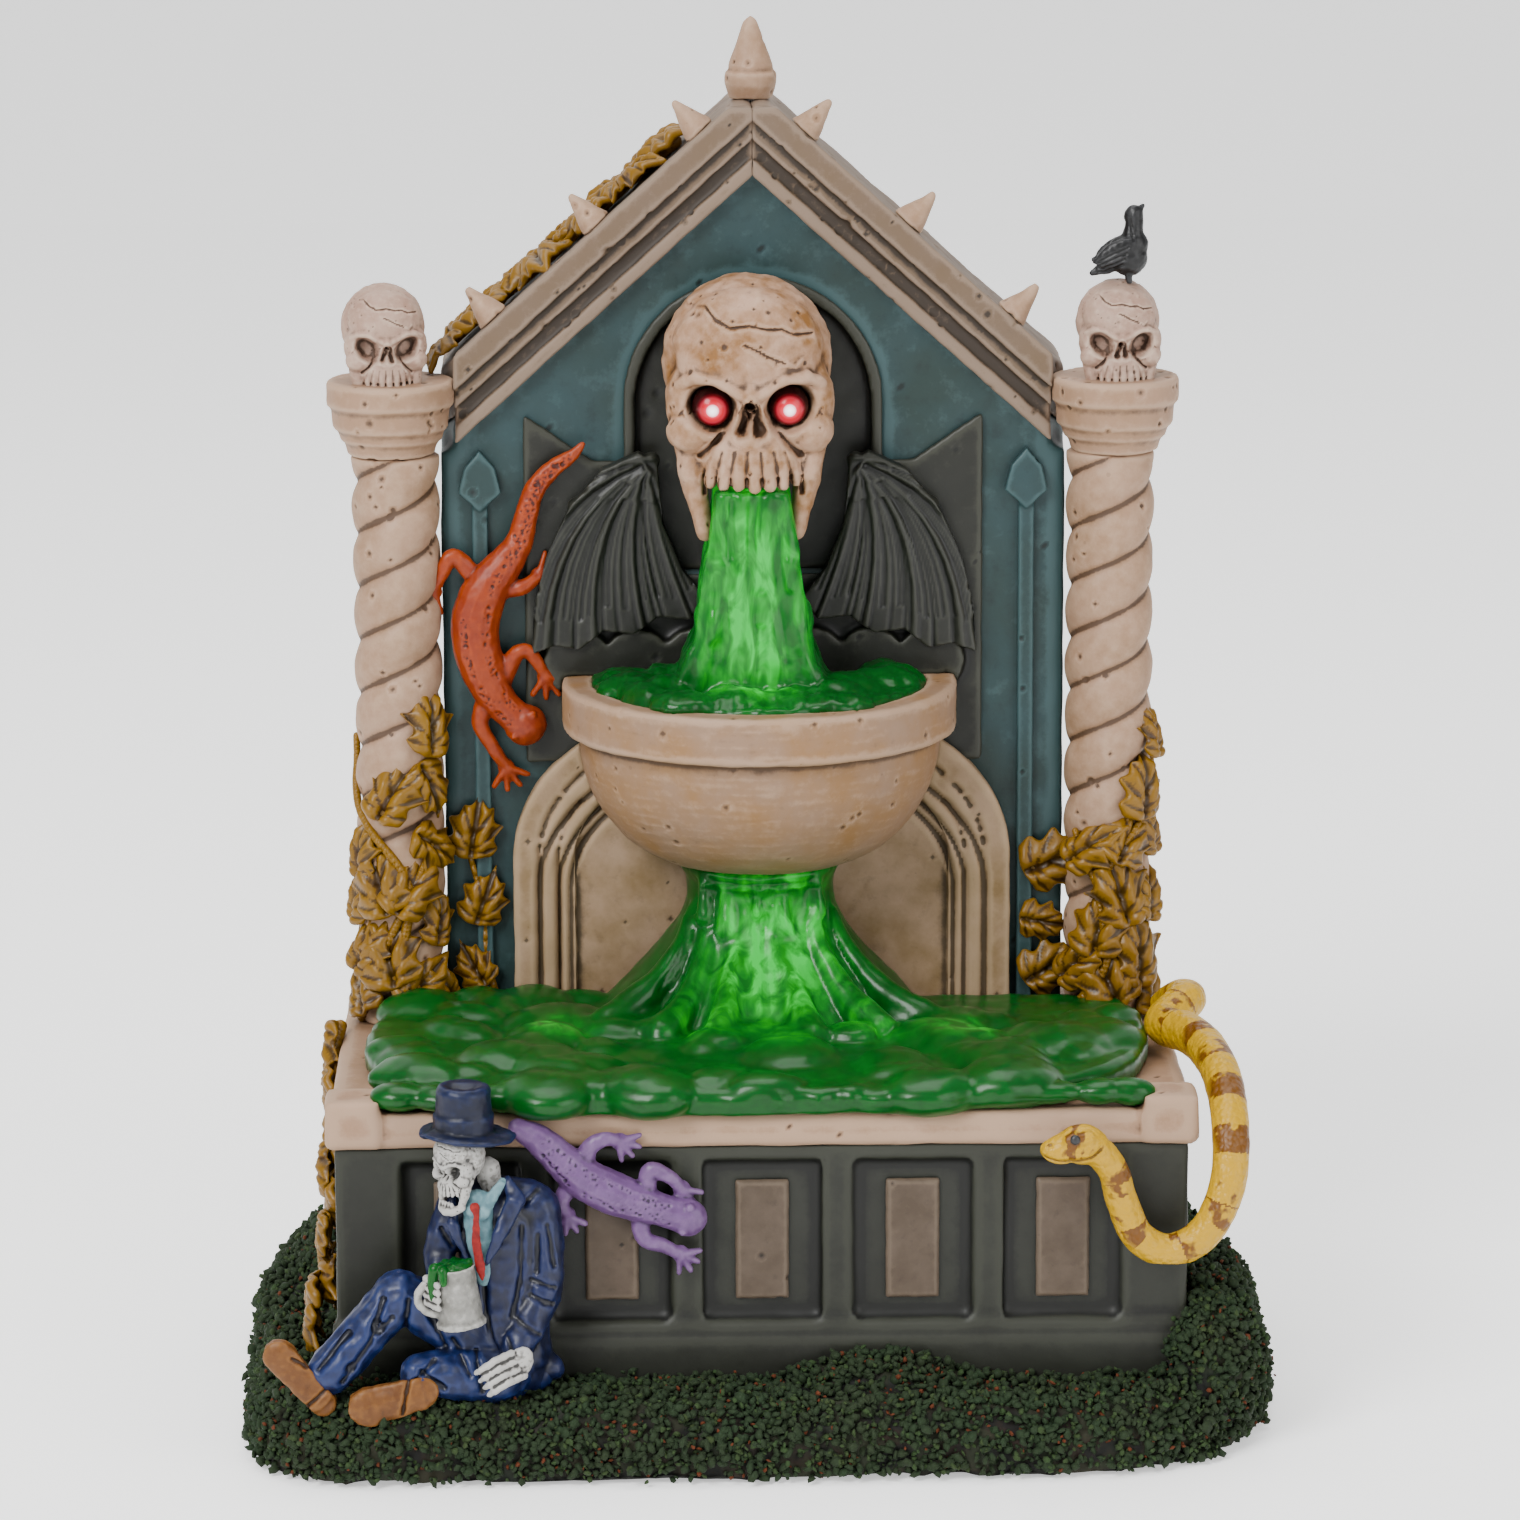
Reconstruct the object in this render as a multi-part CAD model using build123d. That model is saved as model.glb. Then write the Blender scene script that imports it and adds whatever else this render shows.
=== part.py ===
"""Battery-lit tabletop fountain in cast resin, in millimetres.

A gabled wall stands on a panelled trough, with a twisted pillar at each side. A
skull with red LED eyes pours green resin slime into a half-round bowl, and from
there into the trough. The battery tray, switch and wiring are in the hollow trough.
+X is the viewer's right, the front faces -Y, and Z = 0 is the underside.
"""
from build123d import *
import os
from math import cos, radians, sin, tan

os.makedirs("parts", exist_ok=True)

# Ground
base_width = 128.0
base_depth = 84.4
turf_height = 10.2
turf_batter = 2.6
glue_gap = 0.15

# Pedestal block under the trough
block_width = 103.4
block_front = -28.0
block_rear = 38.0
block_top = 38.5
block_wall = 3.2
plinth_top = 14.4
plinth_side = 0.5
plinth_front = 0.8
panel_low = 16.4
panel_high = 36.7
panel_count = 5
panel_pitch = 18.25
stile_width = 3.6
panel_depth = 1.2
tablet_width = 6.5
tablet_height = 15.0
tablet_proud = 0.9

# Trough slab
ledge_thickness = 4.3
ledge_overhang = 0.7
corner_width = 6.6
corner_rise = 1.8
corner_drop = 0.1

# Gabled wall
wall_half = 39.2
wall_front = 19.0
wall_thickness = 3.0
gable_slope = 42.0
gable_apex = 153.4
rake_inner_drop = 3.0
rake_height = 11.3
rake_flat = 3.0
rake_proud = 3.2
roof_set_back = 0.8

# Pillars and capitals
pillar_x = 44.8
pillar_y = 18.0
pillar_radius = 5.3
pillar_pitch = 6.8
pillar_tilt = 20.0
pillar_groove = 0.6
capital_radius = 8.0
capital_height = 9.4
capital_bottom = 115.7

# Niche, plaque and lower arch
plaque_half = 28.9
plaque_bottom = 76.0
plaque_proud = 1.0
niche_radius = 14.8
niche_centre_z = 121.6
niche_sink = 0.8
arch_half = 31.5
arch_x = 0.9
arch_spring_z = 64.0
arch_rise = 21.5
arch_proud = 3.0

# Bowl
bowl_x = 0.6
bowl_radius = 24.8
bowl_reach = 29.5
bowl_rim_top = 87.3
bowl_rim_height = 6.0
bowl_rim_wall = 3.8
bowl_step = 2.0
bowl_foot_radius = 10.5
bowl_bottom = 64.4
bowl_floor = 80.0

# Slime
fall_top_radius = 10.3
fall_waist_radius = 9.2
pool_thickness = 3.3
pool_half = 48.6
spout_top = 113.2
spout_front = 2.5

# Big skull
skull_x = -0.5
skull_y = 12.3
skull_half = 10.8
skull_top = 139.1
skull_brow_z = 126.0
jaw_bottom = 105.6
eye_spacing = 9.4
eye_z = 123.3

# Electrics
led_radius = 2.5
led_flange = 2.9
led_length = 8.6
led_clearance = 0.12
plate_thickness = 2.4
cell_radius = 7.25
cell_length = 49.5
nub_length = 1.0
nub_radius = 2.75
cell_count = 3
tray_wall = 1.5
tray_y = 10.5
contact_thickness = 0.3
spring_wire = 0.35
spring_turns = 4
spring_pitch = 0.25
door_gap = 0.3
door_thickness = 2.0
door_recess = 0.2
pin_radius = 0.8
pin_clearance = 0.05
pin_length = 1.4
switch_x = -16.0
switch_z = 27.0
knob_width = 3.6
knob_height = 2.6
knob_travel = 3.0
knob_gap = 0.35
screw_radius = 1.4
screw_head = 2.7
screw_length = 9.0
boss_radius = 3.4
board_length = 34.0
board_width = 16.0
board_thickness = 1.6

# Places worked out from the sizes above
ledge_top = block_top + ledge_thickness
half_block = block_width / 2
facade_rear = block_rear
slope = tan(radians(gable_slope))
capital_top = capital_bottom + capital_height
bowl_y = wall_front - (bowl_reach - bowl_radius)
arch_front = wall_front - arch_proud
plaque_front = wall_front - plaque_proud
eye_tip_y = skull_y - 8.3
lead_slot = Pos(skull_x, eye_z - 2) * Rectangle(14, 9)
spring_length = 2 * spring_wire + spring_pitch * (spring_turns - 1)
tray_inner = cell_length + nub_length + 2 * contact_thickness + spring_length + 0.2
tray_span = cell_count * 2 * cell_radius + 0.9
tray_height = 2 * cell_radius + 1.0
hinge_y = tray_y - tray_span / 2 + 1.3
hinge_z = door_recess + door_thickness / 2


def block(x0, x1, y0, y1, z0, z1):
    """A box given by its two ends along each axis."""
    return Pos((x0 + x1) / 2, (y0 + y1) / 2, (z0 + z1) / 2) * Box(x1 - x0, y1 - y0, z1 - z0)


def upright(sketch, front, thickness):
    """Extrude a front-view sketch (x, z) from the plane y = front towards the back."""
    return extrude(Plane.XZ.offset(-(front + thickness)) * sketch, thickness)


def outline(points):
    """A face from the corners of an outline."""
    return make_face(Polyline(*points, close=True))


def ellipsoid(centre, radii):
    """A ball stretched to the three radii."""
    return Pos(*centre) * scale(Sphere(1), by=radii)


def limb(start, end, start_radius, end_radius):
    """A round-ended, tapered limb between two points."""
    run = Vector(*end) - Vector(*start)
    place = Plane(origin=start, z_dir=run)
    if abs(start_radius - end_radius) < 0.01:
        shaft = Cylinder(start_radius, run.length)
    else:
        shaft = Cone(start_radius, end_radius, run.length)
    shaft = place * Pos(0, 0, run.length / 2) * shaft
    return shaft + Pos(*start) * Sphere(start_radius) + Pos(*end) * Sphere(end_radius)


def chain(points, radii):
    """Limbs end to end through the points."""
    body = Part()
    for start, end, r0, r1 in zip(points, points[1:], radii, radii[1:]):
        body += limb(start, end, r0, r1)
    return body


def lead(points, radius=0.6):
    """A wire: straight runs joined by the widest arcs that the runs allow."""
    corners = [Vector(*p) for p in points]
    radii = []
    for a, b, c in zip(corners, corners[1:], corners[2:]):
        turn = radians((b - a).get_angle(c - b))
        shorter = min((b - a).length, (c - b).length)
        radii.append(0.45 * shorter / tan(turn / 2))
    path = FilletPolyline(*corners, radius=radii)
    print("lead radii", [round(r, 1) for r in radii])
    return sweep(Plane(origin=path @ 0, z_dir=path % 0) * Circle(radius), path)


def gable_z(x, apex):
    """Height of a gable line at x, for the line through the apex height."""
    return apex - abs(x) * slope


# ---------------------------------------------------------------- ground and block
def turf_outline(inset):
    """The uneven footprint of the turf, drawn in by inset."""
    half_w = base_width / 2 - inset
    half_d = base_depth / 2 - inset
    rim = [(-0.69, -1.0), (-0.12, -0.985), (0.45, -0.965), (0.80, -0.87), (0.96, -0.55),
           (1.0, 0.1), (0.99, 0.70), (0.91, 0.92), (0.70, 0.99), (0.0, 1.0), (-0.72, 0.99),
           (-0.91, 0.91), (-1.0, 0.62), (-0.99, -0.1), (-0.995, -0.5), (-0.92, -0.88)]
    rough = Spline(*rim, periodic=True).bounding_box()
    centre, size = rough.center(), rough.size
    fitted = [(2 * (x - centre.X) / size.X * half_w, 2 * (y - centre.Y) / size.Y * half_d) for x, y in rim]
    return make_face(Spline(*fitted, periodic=True))


def ground_base():
    skirt = extrude(turf_outline(0), turf_height * 0.55)
    top = loft([Pos(0, 0, turf_height * 0.55) * turf_outline(0),
                Pos(0, 0, turf_height) * turf_outline(turf_batter)])
    ground = skirt + top
    for centre, radii in (((half_block + 2.5, -24, turf_height), (7.5, 9, 11.0)),
                          ((14, block_front - 2, turf_height - 1), (12, 5, 4.0)),
                          ((-half_block - 2.0, 18, turf_height), (6, 13, 6.5)),
                          ((half_block + 1.0, 20, turf_height), (6, 12, 6.0))):
        ground += ellipsoid(centre, radii)
    ground -= block(-base_width, base_width, -base_depth, base_depth, -30, 0)
    side = half_block + plinth_side + glue_gap
    return ground - block(-side, side, block_front - plinth_front - glue_gap, block_rear + glue_gap, -1, 40)


def boss_places():
    """Centres of the four screw bosses, in the corners of the block."""
    x = half_block - block_wall - boss_radius + 0.6
    low = block_front + panel_depth + block_wall + boss_radius - 0.6
    high = block_rear - block_wall - boss_radius + 0.6
    return [(x * i, y) for i in (-1, 1) for y in (low, high)]


def pedestal_block():
    floor = plate_thickness
    body = block(-half_block, half_block, block_front, block_rear, floor, block_top)
    opening = panel_pitch - stile_width
    for i in range(panel_count):
        x = (i - (panel_count - 1) / 2) * panel_pitch
        body -= block(x - opening / 2, x + opening / 2, block_front - 1, block_front + panel_depth,
                      panel_low, panel_high)
    side = half_block + plinth_side
    body += block(-side, side, block_front - plinth_front, block_front + 1, floor, plinth_top)
    body += block(-side, side, block_front - plinth_front / 2, block_front + 1, plinth_top, panel_low)
    inner_front = block_front + panel_depth + block_wall
    body -= block(-half_block + block_wall, half_block - block_wall, inner_front,
                  block_rear - block_wall, floor - 1, block_top - block_wall)
    for x, y in boss_places():
        body += Pos(x, y, floor + 7) * Cylinder(boss_radius, 14)
        body -= Pos(x, y, floor + screw_length / 2 - 1.5) * Cylinder(screw_radius, screw_length + 3)
    for x, y in led_places():
        body -= Pos(x, y, block_top) * Cylinder(led_flange + 0.2, 2 * block_wall + 2)
    body -= block(-20, 20, wall_front + wall_thickness + 1, facade_rear - wall_thickness - 1,
                  block_top - block_wall - 1, block_top + 1)
    slot = knob_width + knob_travel + 2 * knob_gap
    body -= block(switch_x - slot / 2, switch_x + slot / 2, block_rear - block_wall - 1, block_rear + 1,
                  switch_z - knob_height / 2 - knob_gap, switch_z + knob_height / 2 + knob_gap)
    for x in switch_screw_places():
        body -= Pos(x, block_rear - block_wall + 0.6, switch_z) * Rot(90, 0, 0) * Cylinder(0.95, 2.6)
    return body


def panel_tablets():
    face = block_front + panel_depth
    tablets = []
    for i in range(panel_count):
        x = (i - (panel_count - 1) / 2) * panel_pitch
        middle = (panel_low + panel_high) / 2
        slab = block(x - tablet_width / 2, x + tablet_width / 2, face - tablet_proud, face,
                     middle - tablet_height / 2, middle + tablet_height / 2)
        tablets.append(chamfer(slab.faces().sort_by(Axis.Y)[0].edges(), 0.4))
    return Compound(children=tablets)


def trough_ledge():
    edge = half_block + ledge_overhang
    front = block_front - ledge_overhang
    slab = block(-edge, edge, front, block_rear + ledge_overhang, block_top, ledge_top)
    slab = chamfer(slab.edges().group_by(Axis.Z)[-1], 0.6)
    for side in (-1, 1):
        x0, x1 = sorted((side * (edge + 0.4 - corner_width), side * (edge + 0.4)))
        slab += block(x0, x1, front - 0.5, front + corner_width, block_top + corner_drop,
                      ledge_top + corner_rise)
    for x, y in led_places():
        slab -= Pos(x, y, block_top) * Cylinder(led_radius + led_clearance, 20)
    return slab - block(-20, 20, wall_front + wall_thickness + 1, facade_rear - wall_thickness - 1,
                        block_top - 1, ledge_top + 1)


# ---------------------------------------------------------------- wall, roof and pillars
def gable_sketch(half, apex, floor):
    return outline([(-half, floor), (half, floor), (half, gable_z(half, apex)), (0, apex),
                    (-half, gable_z(half, apex))])


def pillar_clearance():
    """The space taken by the two pillars and their capitals."""
    space = Part()
    for side in (-1, 1):
        space += Pos(side * pillar_x, pillar_y, (ledge_top + capital_bottom) / 2) * Cylinder(
            pillar_radius + 0.05, capital_bottom - ledge_top + 2)
        space += Pos(side * (pillar_x + 0.5), pillar_y, capital_bottom + 20) * Cylinder(
            capital_radius + 0.05, 40)
    return space


def facade_wall():
    depth = facade_rear - wall_front
    body = upright(gable_sketch(wall_half, gable_apex, ledge_top), wall_front, depth)
    drop = wall_thickness / cos(radians(gable_slope))
    room = gable_sketch(wall_half - wall_thickness, gable_apex - drop, ledge_top - 1)
    body -= upright(room, wall_front + wall_thickness, depth - 2 * wall_thickness)
    body -= upright(niche_sketch(niche_radius + 0.6), wall_front - 1, 1 + niche_sink + 0.7)
    body -= upright(lead_slot, wall_front - 1, wall_thickness + 2)
    body -= upright(Pos(skull_x, spout_led_z()) * Circle(led_flange + 0.2), wall_front - 1,
                    wall_thickness + 2)
    return body - pillar_clearance()


def rake_band(side, low, high, front, depth):
    """A strip along one slope, between two heights measured above the wall's gable line."""
    low_apex = gable_apex - rake_inner_drop + low
    high_apex = gable_apex - rake_inner_drop + high
    points = [(0, low_apex), (wall_half * side, gable_z(wall_half, low_apex)),
              (wall_half * side, gable_z(wall_half, high_apex)), (0, high_apex)]
    return upright(outline(points), front, depth)


def rake(side):
    front = wall_front - rake_proud
    band = rake_band(side, 0, 2.2, front + 1.2, rake_proud - 1.2)
    band += rake_band(side, 2.2, 4.6, front + 2.0, rake_proud - 2.0)
    band += rake_band(side, 4.6, 7.0, front + 1.0, rake_proud - 1.0)
    band += rake_band(side, 7.0, rake_height, front, rake_proud)
    flat_z = gable_z(rake_flat, gable_apex - rake_inner_drop + rake_height)
    band -= block(-20, 20, front - 1, wall_front + 1, flat_z, flat_z + 20)
    return (band - pillar_clearance()).solids().sort_by(SortBy.VOLUME)[-1]


def roof(side):
    slab = rake_band(side, rake_inner_drop, rake_height - roof_set_back, wall_front,
                     facade_rear - wall_front + 0.8)
    flat_z = gable_z(rake_flat, gable_apex - rake_inner_drop + rake_height)
    slab -= block(-20, 20, wall_front - 1, facade_rear + 2, flat_z, flat_z + 20)
    return slab - pillar_clearance()


def finial():
    y = (wall_front - rake_proud + facade_rear) / 2
    foot = gable_z(rake_flat, gable_apex - rake_inner_drop + rake_height)
    profile = Polyline((0, 0), (2.7, 0), (3.3, 1.9), (3.25, 3.2), (2.75, 3.6), (2.8, 4.2), (1.9, 6.8),
                       (0.9, 9.6), (0, 10.4), close=True)
    body = Pos(0, y, foot) * revolve(make_face(Plane.XZ * profile), Axis.Z)
    return body


def crockets():
    first, pitch, reach = 6.5, 12.9, 5.0
    horns = []
    for side in (-1, 1):
        for i in range(3):
            x = first + i * pitch
            foot = (side * x, wall_front, gable_z(x, gable_apex - rake_inner_drop + rake_height))
            out = (side * sin(radians(gable_slope)), 0, cos(radians(gable_slope)))
            horns.append(Plane(origin=foot, z_dir=out) * Pos(0, 0, reach / 2) * Cone(2.2, 0.4, reach))
    return Compound(children=horns)


def pillar(side):
    """A rope-like shaft: tilted rings cut the grooves between its strands."""
    height = capital_bottom - ledge_top
    shaft = Cylinder(pillar_radius, height)
    ring_radius = pillar_radius + 0.9
    ring = Rot(0, -pillar_tilt, 0) * Torus(ring_radius, ring_radius - pillar_radius + pillar_groove)
    count = int(height / pillar_pitch) - 1
    for k in range(count):
        shaft -= Pos(0, 0, (k - (count - 1) / 2) * pillar_pitch) * ring
    return Pos(side * pillar_x, pillar_y, ledge_top + height / 2) * shaft


def capital(side):
    rise = capital_height
    steps = [(0, 0), (5.4, 0), (5.9, 1.7), (6.4, 1.9), (6.7, 3.2), (7.2, 3.4), (7.4, 6.0),
             (capital_radius, 6.4),
             (capital_radius, rise), (0, rise)]
    body = revolve(make_face(Plane.XZ * Polyline(*steps, close=True)), Axis.Z)
    return Pos(side * (pillar_x + 0.5), pillar_y, capital_bottom) * body


def pillar_skull(side):
    centre = (side * (pillar_x + 0.7), pillar_y - 1, capital_top + 7.2)
    head = ellipsoid(centre, (5.3, 5.6, 5.0))
    x, y, z = centre
    head += block(x - 3.6, x + 3.6, y - 4.6, y + 2, capital_top, z)
    for eye in (-1, 1):
        head -= Pos(x + eye * 2.1, y - 5.4, z - 1.3) * Sphere(1.5)
    return head


def crow():
    x, y = pillar_x + 0.7, pillar_y - 1
    foot = capital_top + 12.2
    body = chain([(x - 2.6, y, foot + 1.3), (x - 0.6, y, foot + 2.6), (x + 1.0, y, foot + 4.4)],
                 [0.9, 1.8, 1.4])
    body += chain([(x + 1.0, y, foot + 4.4), (x + 1.4, y, foot + 7.3), (x + 1.1, y, foot + 8.8)],
                  [1.4, 0.8, 0.4])
    return body + block(x - 1.0, x + 0.6, y - 0.7, y + 0.7, foot, foot + 1.6)


# ---------------------------------------------------------------- reliefs on the wall
def niche_sketch(radius):
    body = Pos(0, niche_centre_z) * Circle(radius)
    return body + Pos(0, (niche_centre_z + 100) / 2) * Rectangle(2 * radius, niche_centre_z - 100)


def niche_plaque():
    shoulder = outline([(-plaque_half, plaque_bottom), (plaque_half, plaque_bottom), (plaque_half, 120.6),
                        (20.2, 114.6), (-20.2, 114.6), (-plaque_half, 120.6)])
    crown = Pos(0, niche_centre_z) * Circle(niche_radius + 1.5)
    crown += Pos(0, (niche_centre_z + 110) / 2) * Rectangle(2 * niche_radius + 3, niche_centre_z - 110)
    body = upright(shoulder + crown, plaque_front, plaque_proud)
    body += upright(niche_sketch(niche_radius + 0.6), wall_front, niche_sink + 0.7)
    body -= upright(niche_sketch(niche_radius), plaque_front - 1, 1 + plaque_proud + niche_sink)
    scallops = Sketch()
    for i in range(-3, 4):
        scallops += Pos(i * 7.4, 89.0) * Circle(4.3)
    body += upright(scallops, plaque_front - 1.2, 1.2)
    body -= upright(lead_slot, wall_front - 3, wall_thickness + 3)
    body -= upright(Pos(skull_x, spout_led_z()) * Circle(led_flange + 0.2), wall_front - 3,
                    wall_thickness + 3)
    return body - bowl_solid()


def wing(side):
    points = [(12.0, 114.6), (14.4, 116.0), (19.0, 113.8), (23.0, 109.2), (26.0, 102.8), (27.6, 96.4),
              (28.0, 90.3),
              (25.0, 91.4), (22.0, 90.8), (19.0, 93.2), (15.0, 92.8), (12.0, 95.0), (8.0, 94.6), (6.0, 97.4),
              (9.0, 101.0), (11.4, 107.0)]
    body = upright(outline([(side * x, z) for x, z in points]), plaque_front - 2.2, 2.2)
    body += limb((side * 12.8, plaque_front - 1.2, 114.8), (side * 22.4, plaque_front - 1.2, 109.2), 1.1, 0.9)
    body -= block(-40, 40, plaque_front, plaque_front + 5, 80, 130)
    return body - main_skull_envelope() - spout_solid() - niche_plaque()


def spear(side):
    x = side * 34.3
    head = outline([(x, 108.3), (x + 2.7, 110.6), (x + 1.9, 113.8), (x, 116.0), (x - 1.9, 113.8),
                    (x - 2.7, 110.6)])
    relief = upright(head, wall_front - 1.6, 1.6)
    relief += block(x - 1.0, x + 1.0, wall_front - 1.2, wall_front, ledge_top, 109)
    return relief


def arch_sketch(inset):
    half = arch_half - inset
    curve = EllipticalCenterArc((arch_x, arch_spring_z), half, arch_rise - inset, 0, arc_size=180)
    legs = Polyline((arch_x - half, arch_spring_z), (arch_x - half, ledge_top), (arch_x + half, ledge_top),
                    (arch_x + half, arch_spring_z))
    return make_face([curve, legs])


def lower_arch():
    body = upright(arch_sketch(0), arch_front, arch_proud)
    body -= upright(arch_sketch(3.0) - arch_sketch(3.7), arch_front - 1, 1.7)
    body -= upright(arch_sketch(5.4) - arch_sketch(6.1), arch_front - 1, 1.7)
    body -= upright(arch_sketch(7.8), arch_front - 1, 2.2)
    return body - bowl_solid() - niche_plaque()


# ---------------------------------------------------------------- bowl and slime
def bowl_outer_profile():
    rim_low = bowl_rim_top - bowl_rim_height
    body_radius = bowl_radius - bowl_step
    curve = EllipticalCenterArc((bowl_foot_radius - 2, rim_low), body_radius - bowl_foot_radius + 2,
                                rim_low - bowl_bottom, -90, arc_size=90)
    start = curve @ 0
    return [Line((0, bowl_bottom), start), curve, Line(curve @ 1, (bowl_radius, rim_low)),
            Line((bowl_radius, rim_low), (bowl_radius, bowl_rim_top)),
            Line((bowl_radius, bowl_rim_top), (0, bowl_rim_top)),
            Line((0, bowl_rim_top), (0, bowl_bottom))]


def bowl_solid():
    """The bowl with its hollow filled, cut off at the wall."""
    face = make_face(bowl_outer_profile())
    body = Pos(bowl_x, bowl_y, 0) * revolve(Plane.XZ * face, Axis.Z)
    return body - block(-40, 40, wall_front, 60, 40, 100)


def bowl_room(shrink):
    """The space inside the rim, drawn in by shrink."""
    radius = bowl_radius - bowl_rim_wall - shrink
    room = Pos(bowl_x, bowl_y, (bowl_floor + bowl_rim_top) / 2 + 1) * Cylinder(
        radius, bowl_rim_top - bowl_floor + 2)
    return room - block(-40, 40, wall_front - 2.2 - shrink, 60, 40, 100)


def bowl():
    return bowl_solid() - bowl_room(0)


def spout_led_z():
    return spout_top - 3.4


def spout_solid():
    """The stream from the mouth to the bowl, without its bores."""
    sides = [(4.5, spout_top), (5.5, 106.6), (6.6, 99.5), (7.0, 94.5), (9.0, 90.0), (11.0, bowl_rim_top)]
    points = [(skull_x + x, z) for x, z in sides] + [(skull_x - x, z) for x, z in reversed(sides)]
    stream = upright(outline(points), spout_front, 11.5)
    lip = upright(Pos(skull_x, spout_top - 3.4) * Rectangle(7.0, 6.6), spout_front + 8,
                  plaque_front - spout_front - 8)
    return stream + lip


def slime_spout():
    pool = bowl_room(0.05) & block(-40, 40, -40, 60, bowl_floor + 0.05, bowl_rim_top + 0.4)
    body = spout_solid() + pool
    bore = upright(Pos(skull_x, spout_led_z()) * Circle(led_radius + led_clearance), spout_front + 8.2, 30)
    return body - bore


def pool_outline():
    rim = [(-0.90, 0.40), (-1.0, -0.06), (-0.93, -0.62), (-0.62, -0.93), (-0.1, -1.0), (0.42, -0.97),
           (0.88, -0.70),
           (1.0, -0.14), (0.93, 0.38)]
    deep = arch_front - (block_front - ledge_overhang) + 1.6
    points = [(x * pool_half, arch_front - deep * (0.40 - y) / 1.40) for x, y in rim]
    arc = Spline(*points)
    return make_face([arc, Line(arc @ 1, arc @ 0)])


def slime_fall():
    """The stream from the bowl's foot with the lumpy pool on the trough."""
    pool = Pos(0, 0, ledge_top) * extrude(pool_outline(), pool_thickness)
    pool = fillet(pool.edges().group_by(Axis.Z)[-1], 1.2)
    profile = Spline((fall_top_radius - 0.6, bowl_bottom - 1.2), (fall_waist_radius, 60.6), (11.2, 55.5),
                     (15.0, 51.0), (21.0, ledge_top + 1.0))
    side = [Line((0, ledge_top), (21.0, ledge_top)), Line((21.0, ledge_top), (21.0, ledge_top + 1.0)),
            profile,
            Line(profile @ 0, (fall_top_radius, bowl_bottom - 0.8)),
            Line((fall_top_radius, bowl_bottom - 0.8), (fall_top_radius, bowl_bottom)),
            Line((fall_top_radius, bowl_bottom), (0, bowl_bottom)), Line((0, bowl_bottom), (0, ledge_top))]
    column = Pos(bowl_x, bowl_y, 0) * revolve(Plane.XZ * make_face(side), Axis.Z)
    body = pool + column
    body -= block(-60, 60, arch_front, 60, 30, 100)
    for x, y in led_places():
        top = led_top_z() + 0.15
        body -= Pos(x, y, top / 2) * Cylinder(led_radius + led_clearance, top)
    return body - trough_ledge() - pillar_clearance()


# ---------------------------------------------------------------- figures
def main_skull_envelope():
    """The big skull without its sockets and bores."""
    height = skull_top - skull_brow_z
    body = ellipsoid((skull_x, skull_y, skull_brow_z), (skull_half, 8.6, height))
    body += ellipsoid((skull_x, skull_y - 0.5, 120.0), (9.6, 7.6, 8.5))
    jaw = [(-8.6, 116.5), (8.6, 116.5), (7.2, 109), (6.4, jaw_bottom), (-6.4, jaw_bottom), (-7.2, 109)]
    body += upright(outline([(skull_x + x, z) for x, z in jaw]), skull_y - 7.4, 9.0)
    return body - block(-30, 30, plaque_front, 60, 90, 160)


def main_skull():
    body = main_skull_envelope()
    for side in (-1, 1):
        x = skull_x + side * eye_spacing / 2
        body -= upright(Pos(x, eye_z) * Circle(led_radius + led_clearance), skull_y - 10, 30)
        body -= Pos(x, skull_y - 8.6, eye_z) * Sphere(3.0)
    half = eye_spacing / 2 + led_flange + 0.2
    body -= block(skull_x - half, skull_x + half, eye_tip_y + led_length - 1.1, wall_front, 116.5, 130)
    body -= spout_solid()
    bore = upright(Pos(skull_x, spout_led_z()) * Circle(led_flange + 0.2), skull_y - 2, 30)
    return body - bore


def orange_salamander():
    spine = [(-21.7, 116.8), (-25.0, 114.6), (-27.8, 110.8), (-28.9, 106.4), (-30.9, 102.4), (-33.8, 98.2),
             (-35.0, 93.4), (-34.2, 88.4), (-31.6, 83.6), (-28.4, 80.8)]
    girth = [0.5, 0.9, 1.3, 1.7, 2.3, 3.1, 3.5, 3.2, 2.3, 2.2]
    y = wall_front - 1.4
    body = chain([(x, y, z) for x, z in spine], girth)
    for leg in (((-34.6, 98.8), (-37.6, 102.6), (-39.8, 98.8)),
                ((-31.5, 98.0), (-28.8, 99.0), (-27.2, 100.2)),
                ((-31.6, 87.4), (-29.0, 90.6), (-26.2, 87.2)), ((-33.4, 84.6), (-33.8, 80.0), (-31.2, 75.4))):
        body += chain([(x, y, z) for x, z in leg], [1.2, 1.0, 0.9])
    body -= block(-60, 0, wall_front, 60, 60, 130)
    return body - spear(-1) - niche_plaque() - wing(-1) - pillar_clearance() - lower_arch()


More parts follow.
